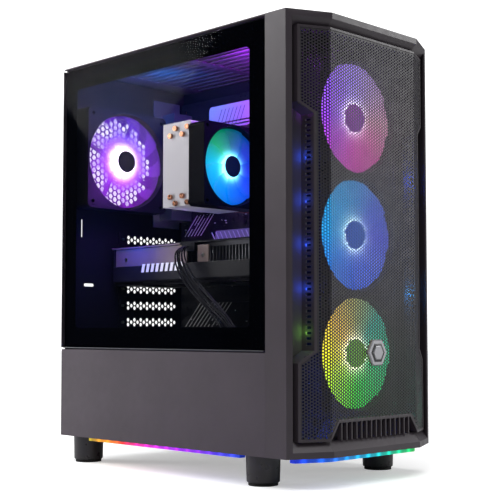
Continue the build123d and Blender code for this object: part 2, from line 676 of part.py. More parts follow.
def psu_board():
    board = block(-70, 70, PSU_FRONT + 3, REAR_IN - 4, 113, 114.6)
    for x in (-46, 22):
        board += block(x, x + 4, PSU_FRONT + 20, REAR_IN - 40, 62, 113)
    board += block(-26, 8, PSU_FAN_Y - 20, PSU_FAN_Y + 24, 76, 113)
    for y in (PSU_FRONT + 28, PSU_FRONT + 62):
        board += rod_z(48, y, 12, 70, 113)
    return board


def psu_rotor():
    wheel = Rot(90, 0, 0) * fan_rotor(56.0, 19.0, 24.0, 7)
    return Pos(0, PSU_FAN_Y, PSU_BOTTOM + 12.2) * wheel


def psu_inlet():
    """A three-pin mains inlet and the housing of the switch above it."""
    inlet = block(38.2, 65.8, REAR_IN - 24, REAR_IN, 46.2, 67.8)
    inlet += block(36.0, 68.0, REAR_IN, REAR_IN + 0.9, 44.5, 69.5)
    inlet -= block(40.2, 63.8, REAR_IN - 17, REAR_IN + 2, 48.2, 65.8)
    for x, z in ((45.0, 54.5), (59.0, 54.5), (52.0, 60.5)):
        inlet += block(x - 1, x + 1, REAR_IN - 18, REAR_IN - 8, z - 2, z + 2)
    switch = block(44.4, 59.6, REAR_IN - 20, REAR_IN, 79.4, 104.6)
    switch += block(42.0, 62.0, REAR_IN, REAR_IN + 0.9, 77.5, 106.5)
    switch -= block(45.6, 58.4, REAR_IN - 14, REAR_IN + 2, 81.0, 103.0)
    switch -= rod_x(ROCKER_Y, ROCKER_Z, ROCKER_PIN_R + BEARING_GAP, 44.6, 59.4)
    return Compound([inlet, switch])


def psu_switch():
    """A rocker key tipped to its on side, on two pins that turn in the housing."""
    profile = [(5.0, -10.0), (3.2, 0.0), (5.0, 10.0), (-2.0, 9.4), (-4.5, 0.0), (-2.0, -9.4)]
    face = make_face(Polyline(*profile, close=True))
    key = Rot(ROCKER_TILT, 0, 0) * sideways(face, ROCKER_X - 6.0, ROCKER_X + 6.0)
    key += rod_x(0, 0, ROCKER_PIN_R, ROCKER_X - 7.2, ROCKER_X + 7.2)
    return Pos(0, ROCKER_Y, ROCKER_Z) * key


# ---- drives and cables --------------------------------------------------
def drive_cage():
    cage = block(-53, 53, -130, 12, PLATE_TOP, 119)
    cage -= block(-51.8, 51.8, -131, 13, PLATE_TOP - 1, 117.8)
    cage += block(-51.8, 51.8, -130, 12, 56.8, 58)
    for side in (-1, 1):
        for y in (-100, -60, -20):
            x = side * 52.4
            cage -= block(x - 2, x + 2, y - 12, y + 12, 68, 108)
    return cage


def hard_drive():
    drive = block(-50.8, 50.8, -132, 15, 58, 84.1)
    drive = chamfer(drive.edges().filter_by(Axis.Z), 3.0)
    return drive - rod_z(8, -70, 40, 83.4, 85)


GPU_CABLE = [
    (-45, 41, 245), (-57, 41, 245), (-61, 38, 226), (-60, 19, 203), (-60, -8, 182),
    (-60, -36, 160), (-61, -57, 138), (-64, -56, 112), (-64, -34, 92), (-64, -2, 87),
    (-60, 22, 86), (-49, 34, 86), (-46, 45, 86),
]
ATX_CABLE = [
    (54, -61, 348), (43, -61, 348), (39, -75, 353), (50, -91, 354), (70, -96, 352),
    (88, -97, 340), (95, -97, 312), (96, -95, 262), (96, -96, 214), (95, -93, 166), (95, -82, 128),
    (93, -50, 104), (87, -12, 92), (70, 16, 88), (40, 28, 88), (6, 30, 88), (-18, 31, 88),
    (-31, 35, 87), (-34, 45, 86),
]


def gpu_power_cable():
    return tube(GPU_CABLE, arc_radii(GPU_CABLE), 4.5)


def atx_cable():
    return tube(ATX_CABLE, arc_radii(ATX_CABLE), 4.0)


FAN_LEADS = [
    [(67, -58, 200.5), (57, -60, 200), (40, -72, 198), (20, -86, 192), (14, -106, 184), (16, -130, 178),
     (18, -143, 176)],
    [(64, -50, 296), (52, -58, 292), (40, -72, 290), (34, -96, 296), (34, -120, 306), (36, -143, 310)],
]


def front_panel_wires():
    return Compound([tube(points, arc_radii(points), 1.6) for points in FAN_LEADS])


# ---- write every piece --------------------------------------------------
PLAIN = [
    bottom_plate, rear_panel, top_panel, front_wall, motherboard_tray, psu_shroud,
    lower_side_panel, feet, foot_pads, led_strip_side, front_bezel, front_insert,
    front_mesh, badge, led_strip_front, glass_panel, right_side_panel, top_filter,
    psu_filter, power_button, reset_button, front_io_board, motherboard, standoffs,
    rear_io_block, board_heatsinks, board_sockets, ram_modules, cooler_base,
    heat_pipes, cooler_fins, gpu_board, gpu_heatsink, gpu_shroud, gpu_bracket,
    slot_covers, case_screws, psu_case, psu_board, psu_rotor, psu_inlet, psu_switch,
    drive_cage, hard_drive, gpu_power_cable, atx_cable, front_panel_wires,
]


def main():
    os.makedirs("parts", exist_ok=True)
    for piece in PLAIN:
        save(piece.__name__, piece())
    save("glass_rail", rear_flange(-1, GLASS_BOTTOM, GLASS_TOP))
    save("glass_thumbscrews", thumbscrews(-1))
    save("side_thumbscrews", thumbscrews(1))

    frame = fan_frame(FAN, 115.6, FAN_DEPTH, FAN_HOLES)
    rotor = fan_rotor(56.0, 14.5, FAN_DEPTH, 9)
    front_fan_y = WALL_Y - FAN_DEPTH / 2
    save("front_fan_frames", Compound([Pos(0, front_fan_y, z) * frame for z in FRONT_FAN_Z]))
    for number, z in enumerate(FRONT_FAN_Z, 1):
        save(f"front_fan_rotor_{number}", Pos(0, front_fan_y, z) * rotor)
    rear_place = Pos(REAR_FAN[0], REAR_IN - FAN_DEPTH / 2, REAR_FAN[1])
    save("rear_fan_frame", rear_place * frame)
    save("rear_fan_rotor", rear_place * rotor)
    cooler_place = Pos(COOLER_AT[0], 8.8 - FAN_DEPTH / 2, COOLER_AT[1])
    save("cooler_fan_frame", cooler_place * fan_frame(COOLER_FAN, 88.0, FAN_DEPTH, 82.5))
    save("cooler_fan_rotor", cooler_place * fan_rotor(42.5, 13.0, FAN_DEPTH, 9))
    for number, y in enumerate(CARD_FANS_Y, 1):
        save(f"gpu_rotor_{number}", gpu_rotor(y))

    print("gpu cable arcs", [round(r, 1) for r in arc_radii(GPU_CABLE)])
    print("atx cable arcs", [round(r, 1) for r in arc_radii(ATX_CABLE)])


main()
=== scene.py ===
"""Looks of a desktop computer tower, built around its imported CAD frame.

Everything is in metres in the CAD's own frame: +Z up, mesh front towards -Y, glass towards -X.
"""
import json
from math import atan2, cos, pi, radians, sin, sqrt, tan
from random import Random

import bmesh
import bpy
from mathutils import Euler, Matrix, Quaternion, Vector


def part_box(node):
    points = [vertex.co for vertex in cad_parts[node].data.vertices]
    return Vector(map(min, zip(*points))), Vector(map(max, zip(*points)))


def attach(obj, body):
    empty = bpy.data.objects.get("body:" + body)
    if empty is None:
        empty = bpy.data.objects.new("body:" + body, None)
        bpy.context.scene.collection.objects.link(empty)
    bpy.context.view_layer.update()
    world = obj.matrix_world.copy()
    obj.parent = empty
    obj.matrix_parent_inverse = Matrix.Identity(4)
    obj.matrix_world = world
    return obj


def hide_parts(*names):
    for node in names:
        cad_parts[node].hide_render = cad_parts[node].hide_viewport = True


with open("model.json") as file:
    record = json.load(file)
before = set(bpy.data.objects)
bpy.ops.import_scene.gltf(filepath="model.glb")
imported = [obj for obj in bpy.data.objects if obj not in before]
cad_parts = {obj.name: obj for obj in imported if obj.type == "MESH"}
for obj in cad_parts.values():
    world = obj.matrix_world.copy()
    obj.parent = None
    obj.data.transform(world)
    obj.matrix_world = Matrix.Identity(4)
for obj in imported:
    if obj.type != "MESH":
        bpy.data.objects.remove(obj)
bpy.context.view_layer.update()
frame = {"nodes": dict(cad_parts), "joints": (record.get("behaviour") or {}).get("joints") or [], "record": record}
nodes = frame["nodes"]
MM = 0.001

# ---- places that the frame gives ----------------------------------------
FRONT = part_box("front_bezel")[0][1]
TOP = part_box("front_bezel")[1][2]
WINDOW_LOW, WINDOW_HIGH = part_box("front_mesh")
GLASS_LOW, GLASS_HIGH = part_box("glass_panel")
BOARD_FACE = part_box("motherboard")[0][0]
CARD_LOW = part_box("gpu_shroud")[0]
CARD_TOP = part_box("gpu_board")[1][2]
# The front is flat to FACET_HALF on both sides of its middle, and then each facet leans back by SLANT.
FACET_HALF = 68.3 * MM
SLANT = atan2(21.0, 44.2)


def frame_joint(name):
    """Where a joint's axis passes."""
    return next(Vector(j["pos_m"]) for j in frame["joints"] if j["name"] == name)


def spaced(first, pitch, count):
    """Places in metres: count of them, pitch apart, from first, both in millimetres."""
    return [(first + pitch * index) * MM for index in range(count)]


# ---- camera, light and floor --------------------------------------------
def add_camera():
    data = bpy.data.cameras.new("camera")
    data.sensor_width = 36.0
    data.lens = 79.6
    data.shift_y = 0.03
    data.clip_start = 0.01
    camera = bpy.data.objects.new("camera", data)
    camera.location = (-0.8751, -0.8850, 0.1509)
    camera.rotation_euler = Euler((radians(93.4), 0, radians(-45.1)))
    bpy.context.scene.collection.objects.link(camera)
    bpy.context.scene.camera = camera


def add_softbox(name, place, size, power, aim=(0, 0, 0.23), roll=0.0, mirrored=True):
    """A rectangular light that faces aim. mirrored says whether shiny faces show it."""
    data = bpy.data.lights.new(name, "AREA")
    data.shape = "RECTANGLE"
    data.size, data.size_y = size
    data.energy = power
    light = bpy.data.objects.new(name, data)
    light.location = place
    facing = (Vector(aim) - Vector(place)).to_track_quat("-Z", "Y")
    light.rotation_euler = (facing @ Quaternion((0, 0, 1), radians(roll))).to_euler()
    light.visible_camera = False
    light.visible_glossy = mirrored
    bpy.context.scene.collection.objects.link(light)


def add_sun(name, tilt, strength, spread_angle):
    """A wide overhead light that whitens the floor evenly."""
    data = bpy.data.lights.new(name, "SUN")
    data.energy = strength
    data.angle = radians(spread_angle)
    light = bpy.data.objects.new(name, data)
    light.rotation_euler = Euler([radians(t) for t in tilt])
    bpy.context.scene.collection.objects.link(light)


def add_glow(name, place, power, colour, radius=0.012):
    """A small coloured lamp inside the case."""
    data = bpy.data.lights.new(name, "POINT")
    data.energy = power
    data.color = colour
    data.shadow_soft_size = radius
    light = bpy.data.objects.new(name, data)
    light.location = place
    light.visible_camera = False
    light.visible_glossy = False
    light.visible_transmission = False
    bpy.context.scene.collection.objects.link(light)


def split_by_viewer(tree, unseen, seen, target):
    """Show seen where the camera looks straight at it, and light everything else by unseen."""
    path = tree.nodes.new("ShaderNodeLightPath")
    mix = tree.nodes.new("ShaderNodeMixShader")
    tree.links.new(path.outputs["Is Camera Ray"], mix.inputs[0])
    tree.links.new(unseen, mix.inputs[1])
    tree.links.new(seen, mix.inputs[2])
    tree.links.new(mix.outputs[0], target)


def add_world():
    """White behind the object, and a dimmer grey for what lights it."""
    world = bpy.data.worlds.new("studio")
    bpy.context.scene.world = world
    world.use_nodes = True
    tree = world.node_tree
    tree.nodes.clear()
    out = tree.nodes.new("ShaderNodeOutputWorld")
    dim = tree.nodes.new("ShaderNodeBackground")
    dim.inputs["Color"].default_value = (0.95, 0.97, 1.0, 1)
    dim.inputs["Strength"].default_value = 0.16
    bright = tree.nodes.new("ShaderNodeBackground")
    bright.inputs["Color"].default_value = (1, 1, 1, 1)
    bright.inputs["Strength"].default_value = 1.5
    split_by_viewer(tree, dim.outputs[0], bright.outputs[0], out.inputs["Surface"])


def add_floor():
    half = 6.0
    mesh = bpy.data.meshes.new("floor")
    corners = [(-half, -half, 0), (half, -half, 0), (half, half, 0), (-half, half, 0)]
    mesh.from_pydata(corners, [], [(0, 1, 2, 3)])
    floor = bpy.data.objects.new("floor", mesh)
    bpy.context.scene.collection.objects.link(floor)
    finish = surface("floor_paint", (0.9, 0.9, 0.9), roughness=0.7, variation=0.01,
                     Emission_Color=(1, 1, 1, 1), Emission_Strength=0.4)
    dim_bounce(finish, (0.5, 0.5, 0.5))
    mesh.materials.append(finish)


def dim_bounce(material, colour):
    """Make the floor throw less light back up at the object than its white look suggests."""
    tree = material.node_tree
    out = next(node for node in tree.nodes if node.type == "OUTPUT_MATERIAL")
    white = out.inputs["Surface"].links[0].from_socket
    plain = tree.nodes.new("ShaderNodeBsdfDiffuse")
    plain.inputs["Color"].default_value = (*colour, 1)
    split_by_viewer(tree, plain.outputs[0], white, out.inputs["Surface"])


# ---- how a material is put together -------------------------------------
class Look:
    """A material with one Principled shader, and short calls that add nodes before it."""

    def __init__(self, name):
        self.material = bpy.data.materials.new(name)
        self.material.use_nodes = True
        self.tree = self.material.node_tree
        self.tree.nodes.clear()
        out = self.node("OutputMaterial")
        self.shader = self.node("BsdfPrincipled")
        self.link(self.shader.outputs[0], out.inputs["Surface"])

    def node(self, kind):
        return self.tree.nodes.new("ShaderNode" + kind)

    def link(self, source, target):
        self.tree.links.new(source, target)

    def set(self, **sockets):
        """Set the shader's sockets, by name with _ for a space, to a value or to a node's output."""
        for name, value in sockets.items():
            socket = self.shader.inputs[name.replace("_", " ")]
            if isinstance(value, bpy.types.NodeSocket):
                self.link(value, socket)
            else:
                socket.default_value = value

    def coordinates(self, centre=(0, 0, 0)):
        """The row frame's own coordinates, measured from centre."""
        shift = self.node("VectorMath")
        shift.operation = "SUBTRACT"
        shift.inputs[1].default_value = centre
        self.link(self.node("TexCoord").outputs["Object"], shift.inputs[0])
        return shift.outputs[0]

    def axes(self, centre=(0, 0, 0)):
        """The X, Y and Z coordinates on their own."""
        split = self.node("SeparateXYZ")
        self.link(self.coordinates(centre), split.inputs[0])
        return split.outputs

    def noise(self, place, scale, detail=3.0, roughness=0.55):
        node = self.node("TexNoise")
        node.inputs["Scale"].default_value = scale
        node.inputs["Detail"].default_value = detail
        node.inputs["Roughness"].default_value = roughness
        self.link(place, node.inputs["Vector"])
        return node.outputs["Fac"]

    def map_range(self, value, source, target=(0.0, 1.0)):
        """Carry value from the source range onto the target range."""
        node = self.node("MapRange")
        node.inputs["From Min"].default_value, node.inputs["From Max"].default_value = source
        node.inputs["To Min"].default_value, node.inputs["To Max"].default_value = target
        self.link(value, node.inputs["Value"])
        return node.outputs["Result"]

    def maths(self, operation, value, other=None):
        """A Math node's result from one socket and, where it takes two, another socket or a number."""
        node = self.node("Math")
        node.operation = operation
        self.link(value, node.inputs[0])
        if isinstance(other, bpy.types.NodeSocket):
            self.link(other, node.inputs[1])
        elif other is not None:
            node.inputs[1].default_value = other
        return node.outputs[0]

    def ramp(self, value, stops):
        """Colours along value, from (place, colour) stops."""
        node = self.node("ValToRGB")
        bands = node.color_ramp.elements
        for index, (place, colour) in enumerate(stops):
            band = bands[index] if index < 2 else bands.new(place)
            band.position = place
            band.color = (*colour, 1)
        self.link(value, node.inputs["Fac"])
        return node.outputs["Color"]

    def grey_ramp(self, value, stops):
        """Levels along value, from (place, level) stops."""
        return self.ramp(value, [(place, (level, level, level)) for place, level in stops])


NOISE_ENDS = (0.3, 0.7)


def surface(name, colour, roughness=0.5, metallic=0.0, variation=0.08, patch=18.0,
            grain=0.0, grain_scale=1500.0, brushed=(1, 1, 1), **sockets):
    """A material whose colour and roughness drift slightly, with a fine grain in its bump."""
    look = Look(name)
    place = look.coordinates()
    dark = [c * (1 - variation) for c in colour]
    light = [min(1.0, c * (1 + variation)) for c in colour]
    drift = look.ramp(look.noise(place, patch), zip(NOISE_ENDS, (dark, light)))
    worn = (roughness * 0.88, min(1.0, roughness * 1.12))
    uneven = look.map_range(look.noise(place, patch * 6), NOISE_ENDS, worn)
    look.set(Base_Color=drift, Roughness=uneven, Metallic=metallic, **sockets)
    if grain:
        stretch = look.node("Mapping")
        stretch.inputs["Scale"].default_value = brushed
        look.link(place, stretch.inputs["Vector"])
        bump = look.node("Bump")
        bump.inputs["Strength"].default_value = grain
        bump.inputs["Distance"].default_value = 0.2 * MM
        look.link(look.noise(stretch.outputs[0], grain_scale, detail=2.0), bump.inputs["Height"])
        look.set(Normal=bump.outputs[0])
    return look.material


def glass_material():
    """Clear tempered glass: mostly open, with a faint dark body and a mirror-like face."""
    look = Look("tinted_glass")
    haze = look.noise(look.coordinates(), 9.0)
    tint = look.ramp(haze, zip(NOISE_ENDS, ((0.001, 0.0015, 0.004), (0.002, 0.003, 0.008))))
    look.set(Base_Color=tint, Roughness=0.008, IOR=1.5, Specular_IOR_Level=0.05, Alpha=0.13)
    return look.material


# Stops of (share of the way out from the hub, level) on a lit fan.
CORE_WHITE = [(0.0, 0.9), (0.06, 0.5), (0.22, 0.12), (0.45, 0.0)]
FRONT_GLOW = [(0.0, 1.0), (0.08, 0.6), (0.3, 0.4), (1.0, 0.34)]
CLEAR_GLOW = [(0.0, 1.0), (0.02, 0.16), (0.22, 0.12), (0.5, 0.08), (1.0, 0.05)]
CRESCENT_GLOW = [(0.0, 1.0), (0.06, 0.6), (0.3, 0.32), (1.0, 0.2)]
# The HALO stops are for the painted glow disc behind the inner fans' blades.
HALO_WHITE = [(0.0, 1.0), (0.14, 0.9), (0.32, 0.25), (0.5, 0.0)]
HALO_GLOW = [(0.0, 1.0), (0.25, 0.8), (0.5, 0.4), (1.0, 0.16)]
HALO_COVER = [(0.0, 1.0), (0.35, 0.9), (0.62, 0.5), (1.0, 0.0)]


def lit_plastic(name, centre, around, reach, power, core, fall, whiteness=CORE_WHITE, alpha=1.0, fade=None):
    """Milky plastic round a fan's axis: its colour turns with the angle and becomes core near the hub.

    reach is the radius in millimetres where the stops start and where they end. fall, whiteness and
    fade are the stops for glow, for core and for how much the plastic covers what is behind it.
    """
    look = Look(name)
    axes = look.axes(centre)
    turn = look.map_range(look.maths("ARCTAN2", axes["Z"], axes["X"]), (-pi, pi))
    hue = look.ramp(turn, [(k / len(around), colour) for k, colour in enumerate([*around, around[0]])])

    flat = look.node("CombineXYZ")
    look.link(axes["X"], flat.inputs["X"])
    look.link(axes["Z"], flat.inputs["Y"])
    length = look.node("VectorMath")
    length.operation = "LENGTH"
    look.link(flat.outputs[0], length.inputs[0])
    outward = look.map_range(length.outputs["Value"], [radius * MM for radius in reach])

    tint = look.node("MixRGB")
    look.link(look.grey_ramp(outward, whiteness), tint.inputs["Fac"])
    look.link(hue, tint.inputs["Color1"])
    tint.inputs["Color2"].default_value = (*core, 1)
    strength = look.maths("MULTIPLY", look.grey_ramp(outward, fall), power)
    look.set(Emission_Color=tint.outputs[0], Emission_Strength=strength,
             Base_Color=(0.02, 0.02, 0.025, 1), Roughness=0.35,
             Alpha=look.grey_ramp(outward, fade) if fade else alpha)
    return look.material


LIGHT_PITCH = 16.6 * MM


def light_strip(name, node, axis, colours, power=1.1):
    """A milky strip whose colour runs along it, brighter at each light."""
    low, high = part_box(node)
    which = "XYZ".index(axis)
    look = Look(name)
    along = look.axes()[axis]
    share = look.map_range(along, (low[which], high[which]))
    hue = look.ramp(share, [(k / (len(colours) - 1), colour) for k, colour in enumerate(colours)])
    wave = look.maths("SINE", look.maths("MULTIPLY", along, pi / LIGHT_PITCH))
    pulse = look.map_range(look.maths("POWER", wave, 6.0), (0.0, 1.0), (power * 0.18, power))
    look.set(Emission_Color=hue, Emission_Strength=pulse, Base_Color=hue, Roughness=0.4)
    return look.material


# ---- mesh helpers -------------------------------------------------------
def add_piece(name, verts, faces, material, body, slot, replaced=(), smooth=False):
    """A mesh piece that rides on a body, in the given material; slot is not used."""
    mesh = bpy.data.meshes.new(name)
    mesh.from_pydata([tuple(v) for v in verts], [], faces)
    mesh.validate()
    work = bmesh.new()
    work.from_mesh(mesh)
    bmesh.ops.recalc_face_normals(work, faces=work.faces)
    work.to_mesh(mesh)
    work.free()
    for face in mesh.polygons:
        face.use_smooth = smooth
    mesh.materials.append(material)
    piece = bpy.data.objects.new(name, mesh)
    bpy.context.scene.collection.objects.link(piece)
    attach(piece, body)
    if replaced:
        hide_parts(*replaced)
    return piece


def soften(obj, width, angle=32):
    """Round an object's sharp edges a little, as moulded and folded edges are."""
    weld = obj.modifiers.new("weld", "WELD")
    weld.merge_threshold = 0.005 * MM
    bevel = obj.modifiers.new("bevel", "BEVEL")
    bevel.width = width
    bevel.segments = 2
    bevel.limit_method = "ANGLE"
    bevel.angle_limit = radians(angle)
    bevel.harden_normals = False


def paint(material, *names):
    """Give CAD nodes a material."""
    for name in names:
        data = nodes[name].data
        data.materials.clear()
        data.materials.append(material)


def band(first, second, count):
    """The faces between two rings of count points, which start at points first and second."""
    return [(first + k, first + (k + 1) % count, second + (k + 1) % count, second + k) for k in range(count)]


def lidded(start, rings, count):
    """The faces of a closed piece made of rings of count points, one after the other from start."""
    faces = []
    for ring in range(rings - 1):
        faces += band(start + ring * count, start + (ring + 1) * count, count)
    last = start + (rings - 1) * count
    return faces + [tuple(range(start, start + count)), tuple(range(last, last + count))]


BOX_FACES = [(0, 1, 3, 2), (4, 6, 7, 5), (0, 4, 5, 1), (2, 3, 7, 6), (0, 2, 6, 4), (1, 5, 7, 3)]


def add_boxes(name, boxes, material, body, slot, bevel=0.0):
    """One piece made of several boxes, each given by its lowest and highest corner."""
    verts = []
    faces = []
    for low, high in boxes:
        start = len(verts)
        verts += [(x, y, z) for x in (low[0], high[0]) for y in (low[1], high[1]) for z in (low[2], high[2])]
        faces += [tuple(start + i for i in face) for face in BOX_FACES]
    piece = add_piece(name, verts, faces, material, body, slot)
    if bevel:
        soften(piece, bevel)


def add_rods(name, rods, material, body, slot, sides=20):
    """One piece made of short round posts along X: (x0, x1, y, z, radius)."""
    verts = []
    faces = []
    for x0, x1, y, z, radius in rods:
        chamfer = radius * 0.14
        faces += lidded(len(verts), 3, sides)
        for x, r in ((x0, radius), (x1 + chamfer, radius), (x1, radius - chamfer)):
            for k in range(sides):
                turn = 2 * pi * k / sides
                verts.append((x, y + r * cos(turn), z + r * sin(turn)))
    add_piece(name, verts, faces, material, body, slot)


def add_spun(name, profile, turned, material, body, slot, sides=64):
    """A closed round piece: (radius, place along the axis) points spun about the axis."""
    verts = []
    for radius, w in profile:
        r = max(radius, 0.05 * MM)
        for k in range(sides):
            turn = 2 * pi * k / sides
            verts.append(turned(r * cos(turn), r * sin(turn), w))
    return add_piece(name, verts, lidded(0, len(profile), sides), material, body, slot)


def slanted_bars(name, places, wide, tall, lean, face, proud, material, slot):
    """Printed or raised slanted bars on a face that looks towards -X, at (y, z) lower corners."""
    verts = []
    faces = []
    for y, z in places:
        faces += lidded(len(verts), 2, 4)
        for x in (face - proud, face + 0.2 * MM):
            verts += [(x, y, z), (x, y + wide, z), (x, y + wide - lean, z + tall), (x, y - lean, z + tall)]
    add_piece(name, verts, faces, material, "chassis", slot)


# ---- perforated sheets --------------------------------------------------
def facet_y(x, depth):
    """Y of the facetted front at x, moved inwards by depth."""
    break_x = FACET_HALF - depth * tan(SLANT / 2)
    return FRONT + depth + max(0.0, abs(x) - break_x) * tan(SLANT)


def perforated(name, inside, place, low, high, pitch, hole, thickness, material, body, slot, replaced):
    """A sheet of staggered six-sided holes of radius hole, where place(u, v) gives a point on the sheet.

    inside(u, v) says how far a point is within the sheet's outline, between low and high.
    """
    verts = []
    faces = []
    known = {}
    step = pitch * sqrt(3) / 2
    cell = pitch / sqrt(3)
    least_rim, farthest_out = 0.2 * MM, cell * 0.9
    columns = int((high[0] - low[0]) / step) + 2
    rows = int((high[1] - low[1]) / pitch) + 2

    def corner(u, v):
        """The number of the sheet's point at (u, v), which neighbouring cells share."""
        key = (round(u / cell * 8), round(v / cell * 8))
        if key not in known:
            known[key] = len(verts)
            verts.append(place(u, v))
        return known[key]

    for column in range(-1, columns):
        for row in range(-1, rows):
            u = low[0] + column * step
            v = low[1] + (row + 0.5 * (column % 2)) * pitch
            room = inside(u, v)
            if room < -farthest_out:
                continue
            rim = [corner(u + cell * cos(pi / 3 * k), v + cell * sin(pi / 3 * k)) for k in range(6)]
            if room < hole + least_rim:
                faces.append(tuple(rim))
                continue
            start = len(verts)
            verts += [place(u + hole * cos(pi / 3 * k), v + hole * sin(pi / 3 * k)) for k in range(6)]
            for k in range(6):
                after = (k + 1) % 6
                faces.append((rim[k], rim[after], start + after, start + k))
    sheet = add_piece(name, verts, faces, material, body, slot, replaced)
    thick = sheet.modifiers.new("thickness", "SOLIDIFY")
    thick.thickness = thickness
    thick.offset = 0


# The front insert's window: wide at both ends, narrow at the waist, with a notch at the bottom.
INSERT_WIDE = 96.6 * MM
INSERT_NARROW = 81.4 * MM
WAIST_ENDS = ((370.0 * MM, 1), (121.2 * MM, -1))
WAIST_SLOPE_START = 9.0 * MM
WAIST_SLOPE_UP, WAIST_SLOPE_OUT = 0.8, 0.55
NOTCH_TOP = 64.9 * MM
NOTCH_HALF = 58.6 * MM
NOTCH_LEAN, NOTCH_SQUARE = 0.7, 0.82


def inside_insert(x, z):
    """How far a point is within the front insert's window."""
    side = abs(x)
    waist = INSERT_NARROW - side
    for start, direction in WAIST_ENDS:
        slope = ((z - start) * direction + WAIST_SLOPE_START) * WAIST_SLOPE_UP
        slope += (INSERT_NARROW - side) * WAIST_SLOPE_OUT
        waist = max(waist, min(INSERT_WIDE - side, slope))
    notch_half = NOTCH_HALF + (NOTCH_TOP - z) * NOTCH_LEAN
    over_notch = max(z - NOTCH_TOP, (side - notch_half) * NOTCH_SQUARE)
    return min(z - WINDOW_LOW[2], WINDOW_HIGH[2] - z, waist, INSERT_WIDE - side, over_notch)


def build_front_mesh(material):
    depth = 3.9 * MM
    perforated("front_perforated_mesh", inside_insert, lambda x, z: (x, facet_y(x, depth), z),
               (-INSERT_WIDE, WINDOW_LOW[2]), (INSERT_WIDE, WINDOW_HIGH[2]),
               pitch=3.1 * MM, hole=1.12 * MM, thickness=0.6 * MM,
               material=material, body="front_panel", slot="front_mesh_steel", replaced=("front_mesh",))


def build_filter(name, level, pitch, hole, material):
    """A dust filter, named as its node and body: a moulded rim, a cross rib and a fine sheet."""
    low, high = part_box(name)
    rim = 5.5 * MM

    def inside(x, y):
        return min(x - low[0], high[0] - x, y - low[1], high[1] - y) - rim * 0.6

    perforated(name + "_sheet", inside, lambda x, y: (x, y, level), low, high, pitch, hole, 0.3 * MM,
               material, name, "filter_mesh", (name,))
    middle, rib = (low[0] + high[0]) / 2, rim / 4
    bars = [
        ((low[0], low[1], low[2]), (low[0] + rim, high[1], high[2])),
        ((high[0] - rim, low[1], low[2]), (high[0], high[1], high[2])),
        ((low[0] + rim, low[1], low[2]), (high[0] - rim, low[1] + rim, high[2])),
        ((low[0] + rim, high[1] - rim, low[2]), (high[0] - rim, high[1], high[2])),
        ((middle - rib, low[1] + rim, low[2]), (middle + rib, high[1] - rim, high[2] - 0.2 * MM)),
    ]
    add_boxes(name + "_rim", bars, material, name, "filter_mesh", 0.25 * MM)


# ---- fans ---------------------------------------------------------------
# Each fan's colours run left, bottom, right, top.
FAN_COLOURS = {
    "front_fan_1": [(0.34, 0.05, 1.0), (0.6, 0.04, 0.85), (0.85, 0.04, 0.6), (0.75, 0.1, 0.45),
                    (0.6, 0.26, 0.4), (0.42, 0.26, 0.6), (0.35, 0.22, 0.95), (0.3, 0.1, 1.0)],
    "front_fan_2": [(0.0, 0.42, 1.0), (0.01, 0.25, 1.0), (0.02, 0.13, 0.95), (0.06, 0.14, 0.9),
                    (0.05, 0.08, 0.85), (0.05, 0.14, 0.85), (0.02, 0.34, 0.85), (0.0, 0.42, 0.95)],
    "front_fan_3": [(0.85, 0.8, 0.02), (0.4, 0.85, 0.03), (0.03, 0.72, 0.05), (0.02, 0.6, 0.16),
                    (0.02, 0.5, 0.26), (0.02, 0.42, 0.34), (0.4, 0.42, 0.14), (0.8, 0.5, 0.06)],
    "rear_fan": [(0.36, 0.05, 1.0), (0.42, 0.04, 1.0), (0.32, 0.08, 1.0), (0.2, 0.06, 1.0)],
    "cooler_fan": [(0.0, 0.55, 0.9), (0.0, 0.36, 1.0), (0.0, 0.18, 1.0), (0.01, 0.08, 1.0),
                   (0.01, 0.03, 0.7), (0.0, 0.04, 0.5), (0.0, 0.14, 0.16), (0.0, 0.42, 0.12)],
}
DARK = (0, 0, 0)
# Body, colour near the hub, colour of the hub, power, cover, glow, radius of blades and of hub (mm).
LIT_FANS = [
    ("front_fan_1", (0.85, 0.75, 1), (0.3, 0.03, 0.5), 4.6, 1.0, FRONT_GLOW, 56.0, 14.5),
    ("front_fan_2", (0.6, 0.85, 1), (0.01, 0.14, 0.8), 5.0, 1.0, FRONT_GLOW, 56.0, 14.5),
    ("front_fan_3", (1, 1, 0.7), (0.14, 0.4, 0.05), 4.2, 1.0, FRONT_GLOW, 56.0, 14.5),
    ("rear_fan", (1, 0.85, 1), DARK, 18.0, 0.22, CLEAR_GLOW, 56.0, 14.5),
    ("cooler_fan", (0.2, 0.8, 1), DARK, 4.6, 0.95, CRESCENT_GLOW, 42.5, 13.0),
]
# The fans without light: body, radius of blades and of hub, depth (mm) and number of blades.
PLAIN_FANS = [("gpu_fan_1", 42.0, 15.0, 22.0, 11), ("gpu_fan_2", 42.0, 15.0, 22.0, 11),
              ("psu_fan", 56.0, 19.0, 24.0, 7)]
BLADE_THICK = 1.1 * MM
ACROSS, ALONG = 9, 8  # faces of a blade from hub to rim, and along its chord


def blade_faces(start):
    """The faces of one blade: two layers of (ACROSS + 1) by (ALONG + 1) points, closed at the edges."""
    layer = (ACROSS + 1) * (ALONG + 1)
    faces = []

    def at(side, i, j):
        return start + side * layer + i * (ALONG + 1) + j

    for i in range(ACROSS):
        for j in range(ALONG):
            faces.append((at(0, i, j), at(0, i + 1, j), at(0, i + 1, j + 1), at(0, i, j + 1)))
            faces.append((at(1, i, j), at(1, i, j + 1), at(1, i + 1, j + 1), at(1, i + 1, j)))
    for i in range(ACROSS):
        for j in (0, ALONG):
            faces.append((at(0, i, j), at(1, i, j), at(1, i + 1, j), at(0, i + 1, j)))
    for j in range(ALONG):
        for i in (0, ACROSS):
            faces.append((at(0, i, j), at(0, i, j + 1), at(1, i, j + 1), at(1, i, j)))
    return faces


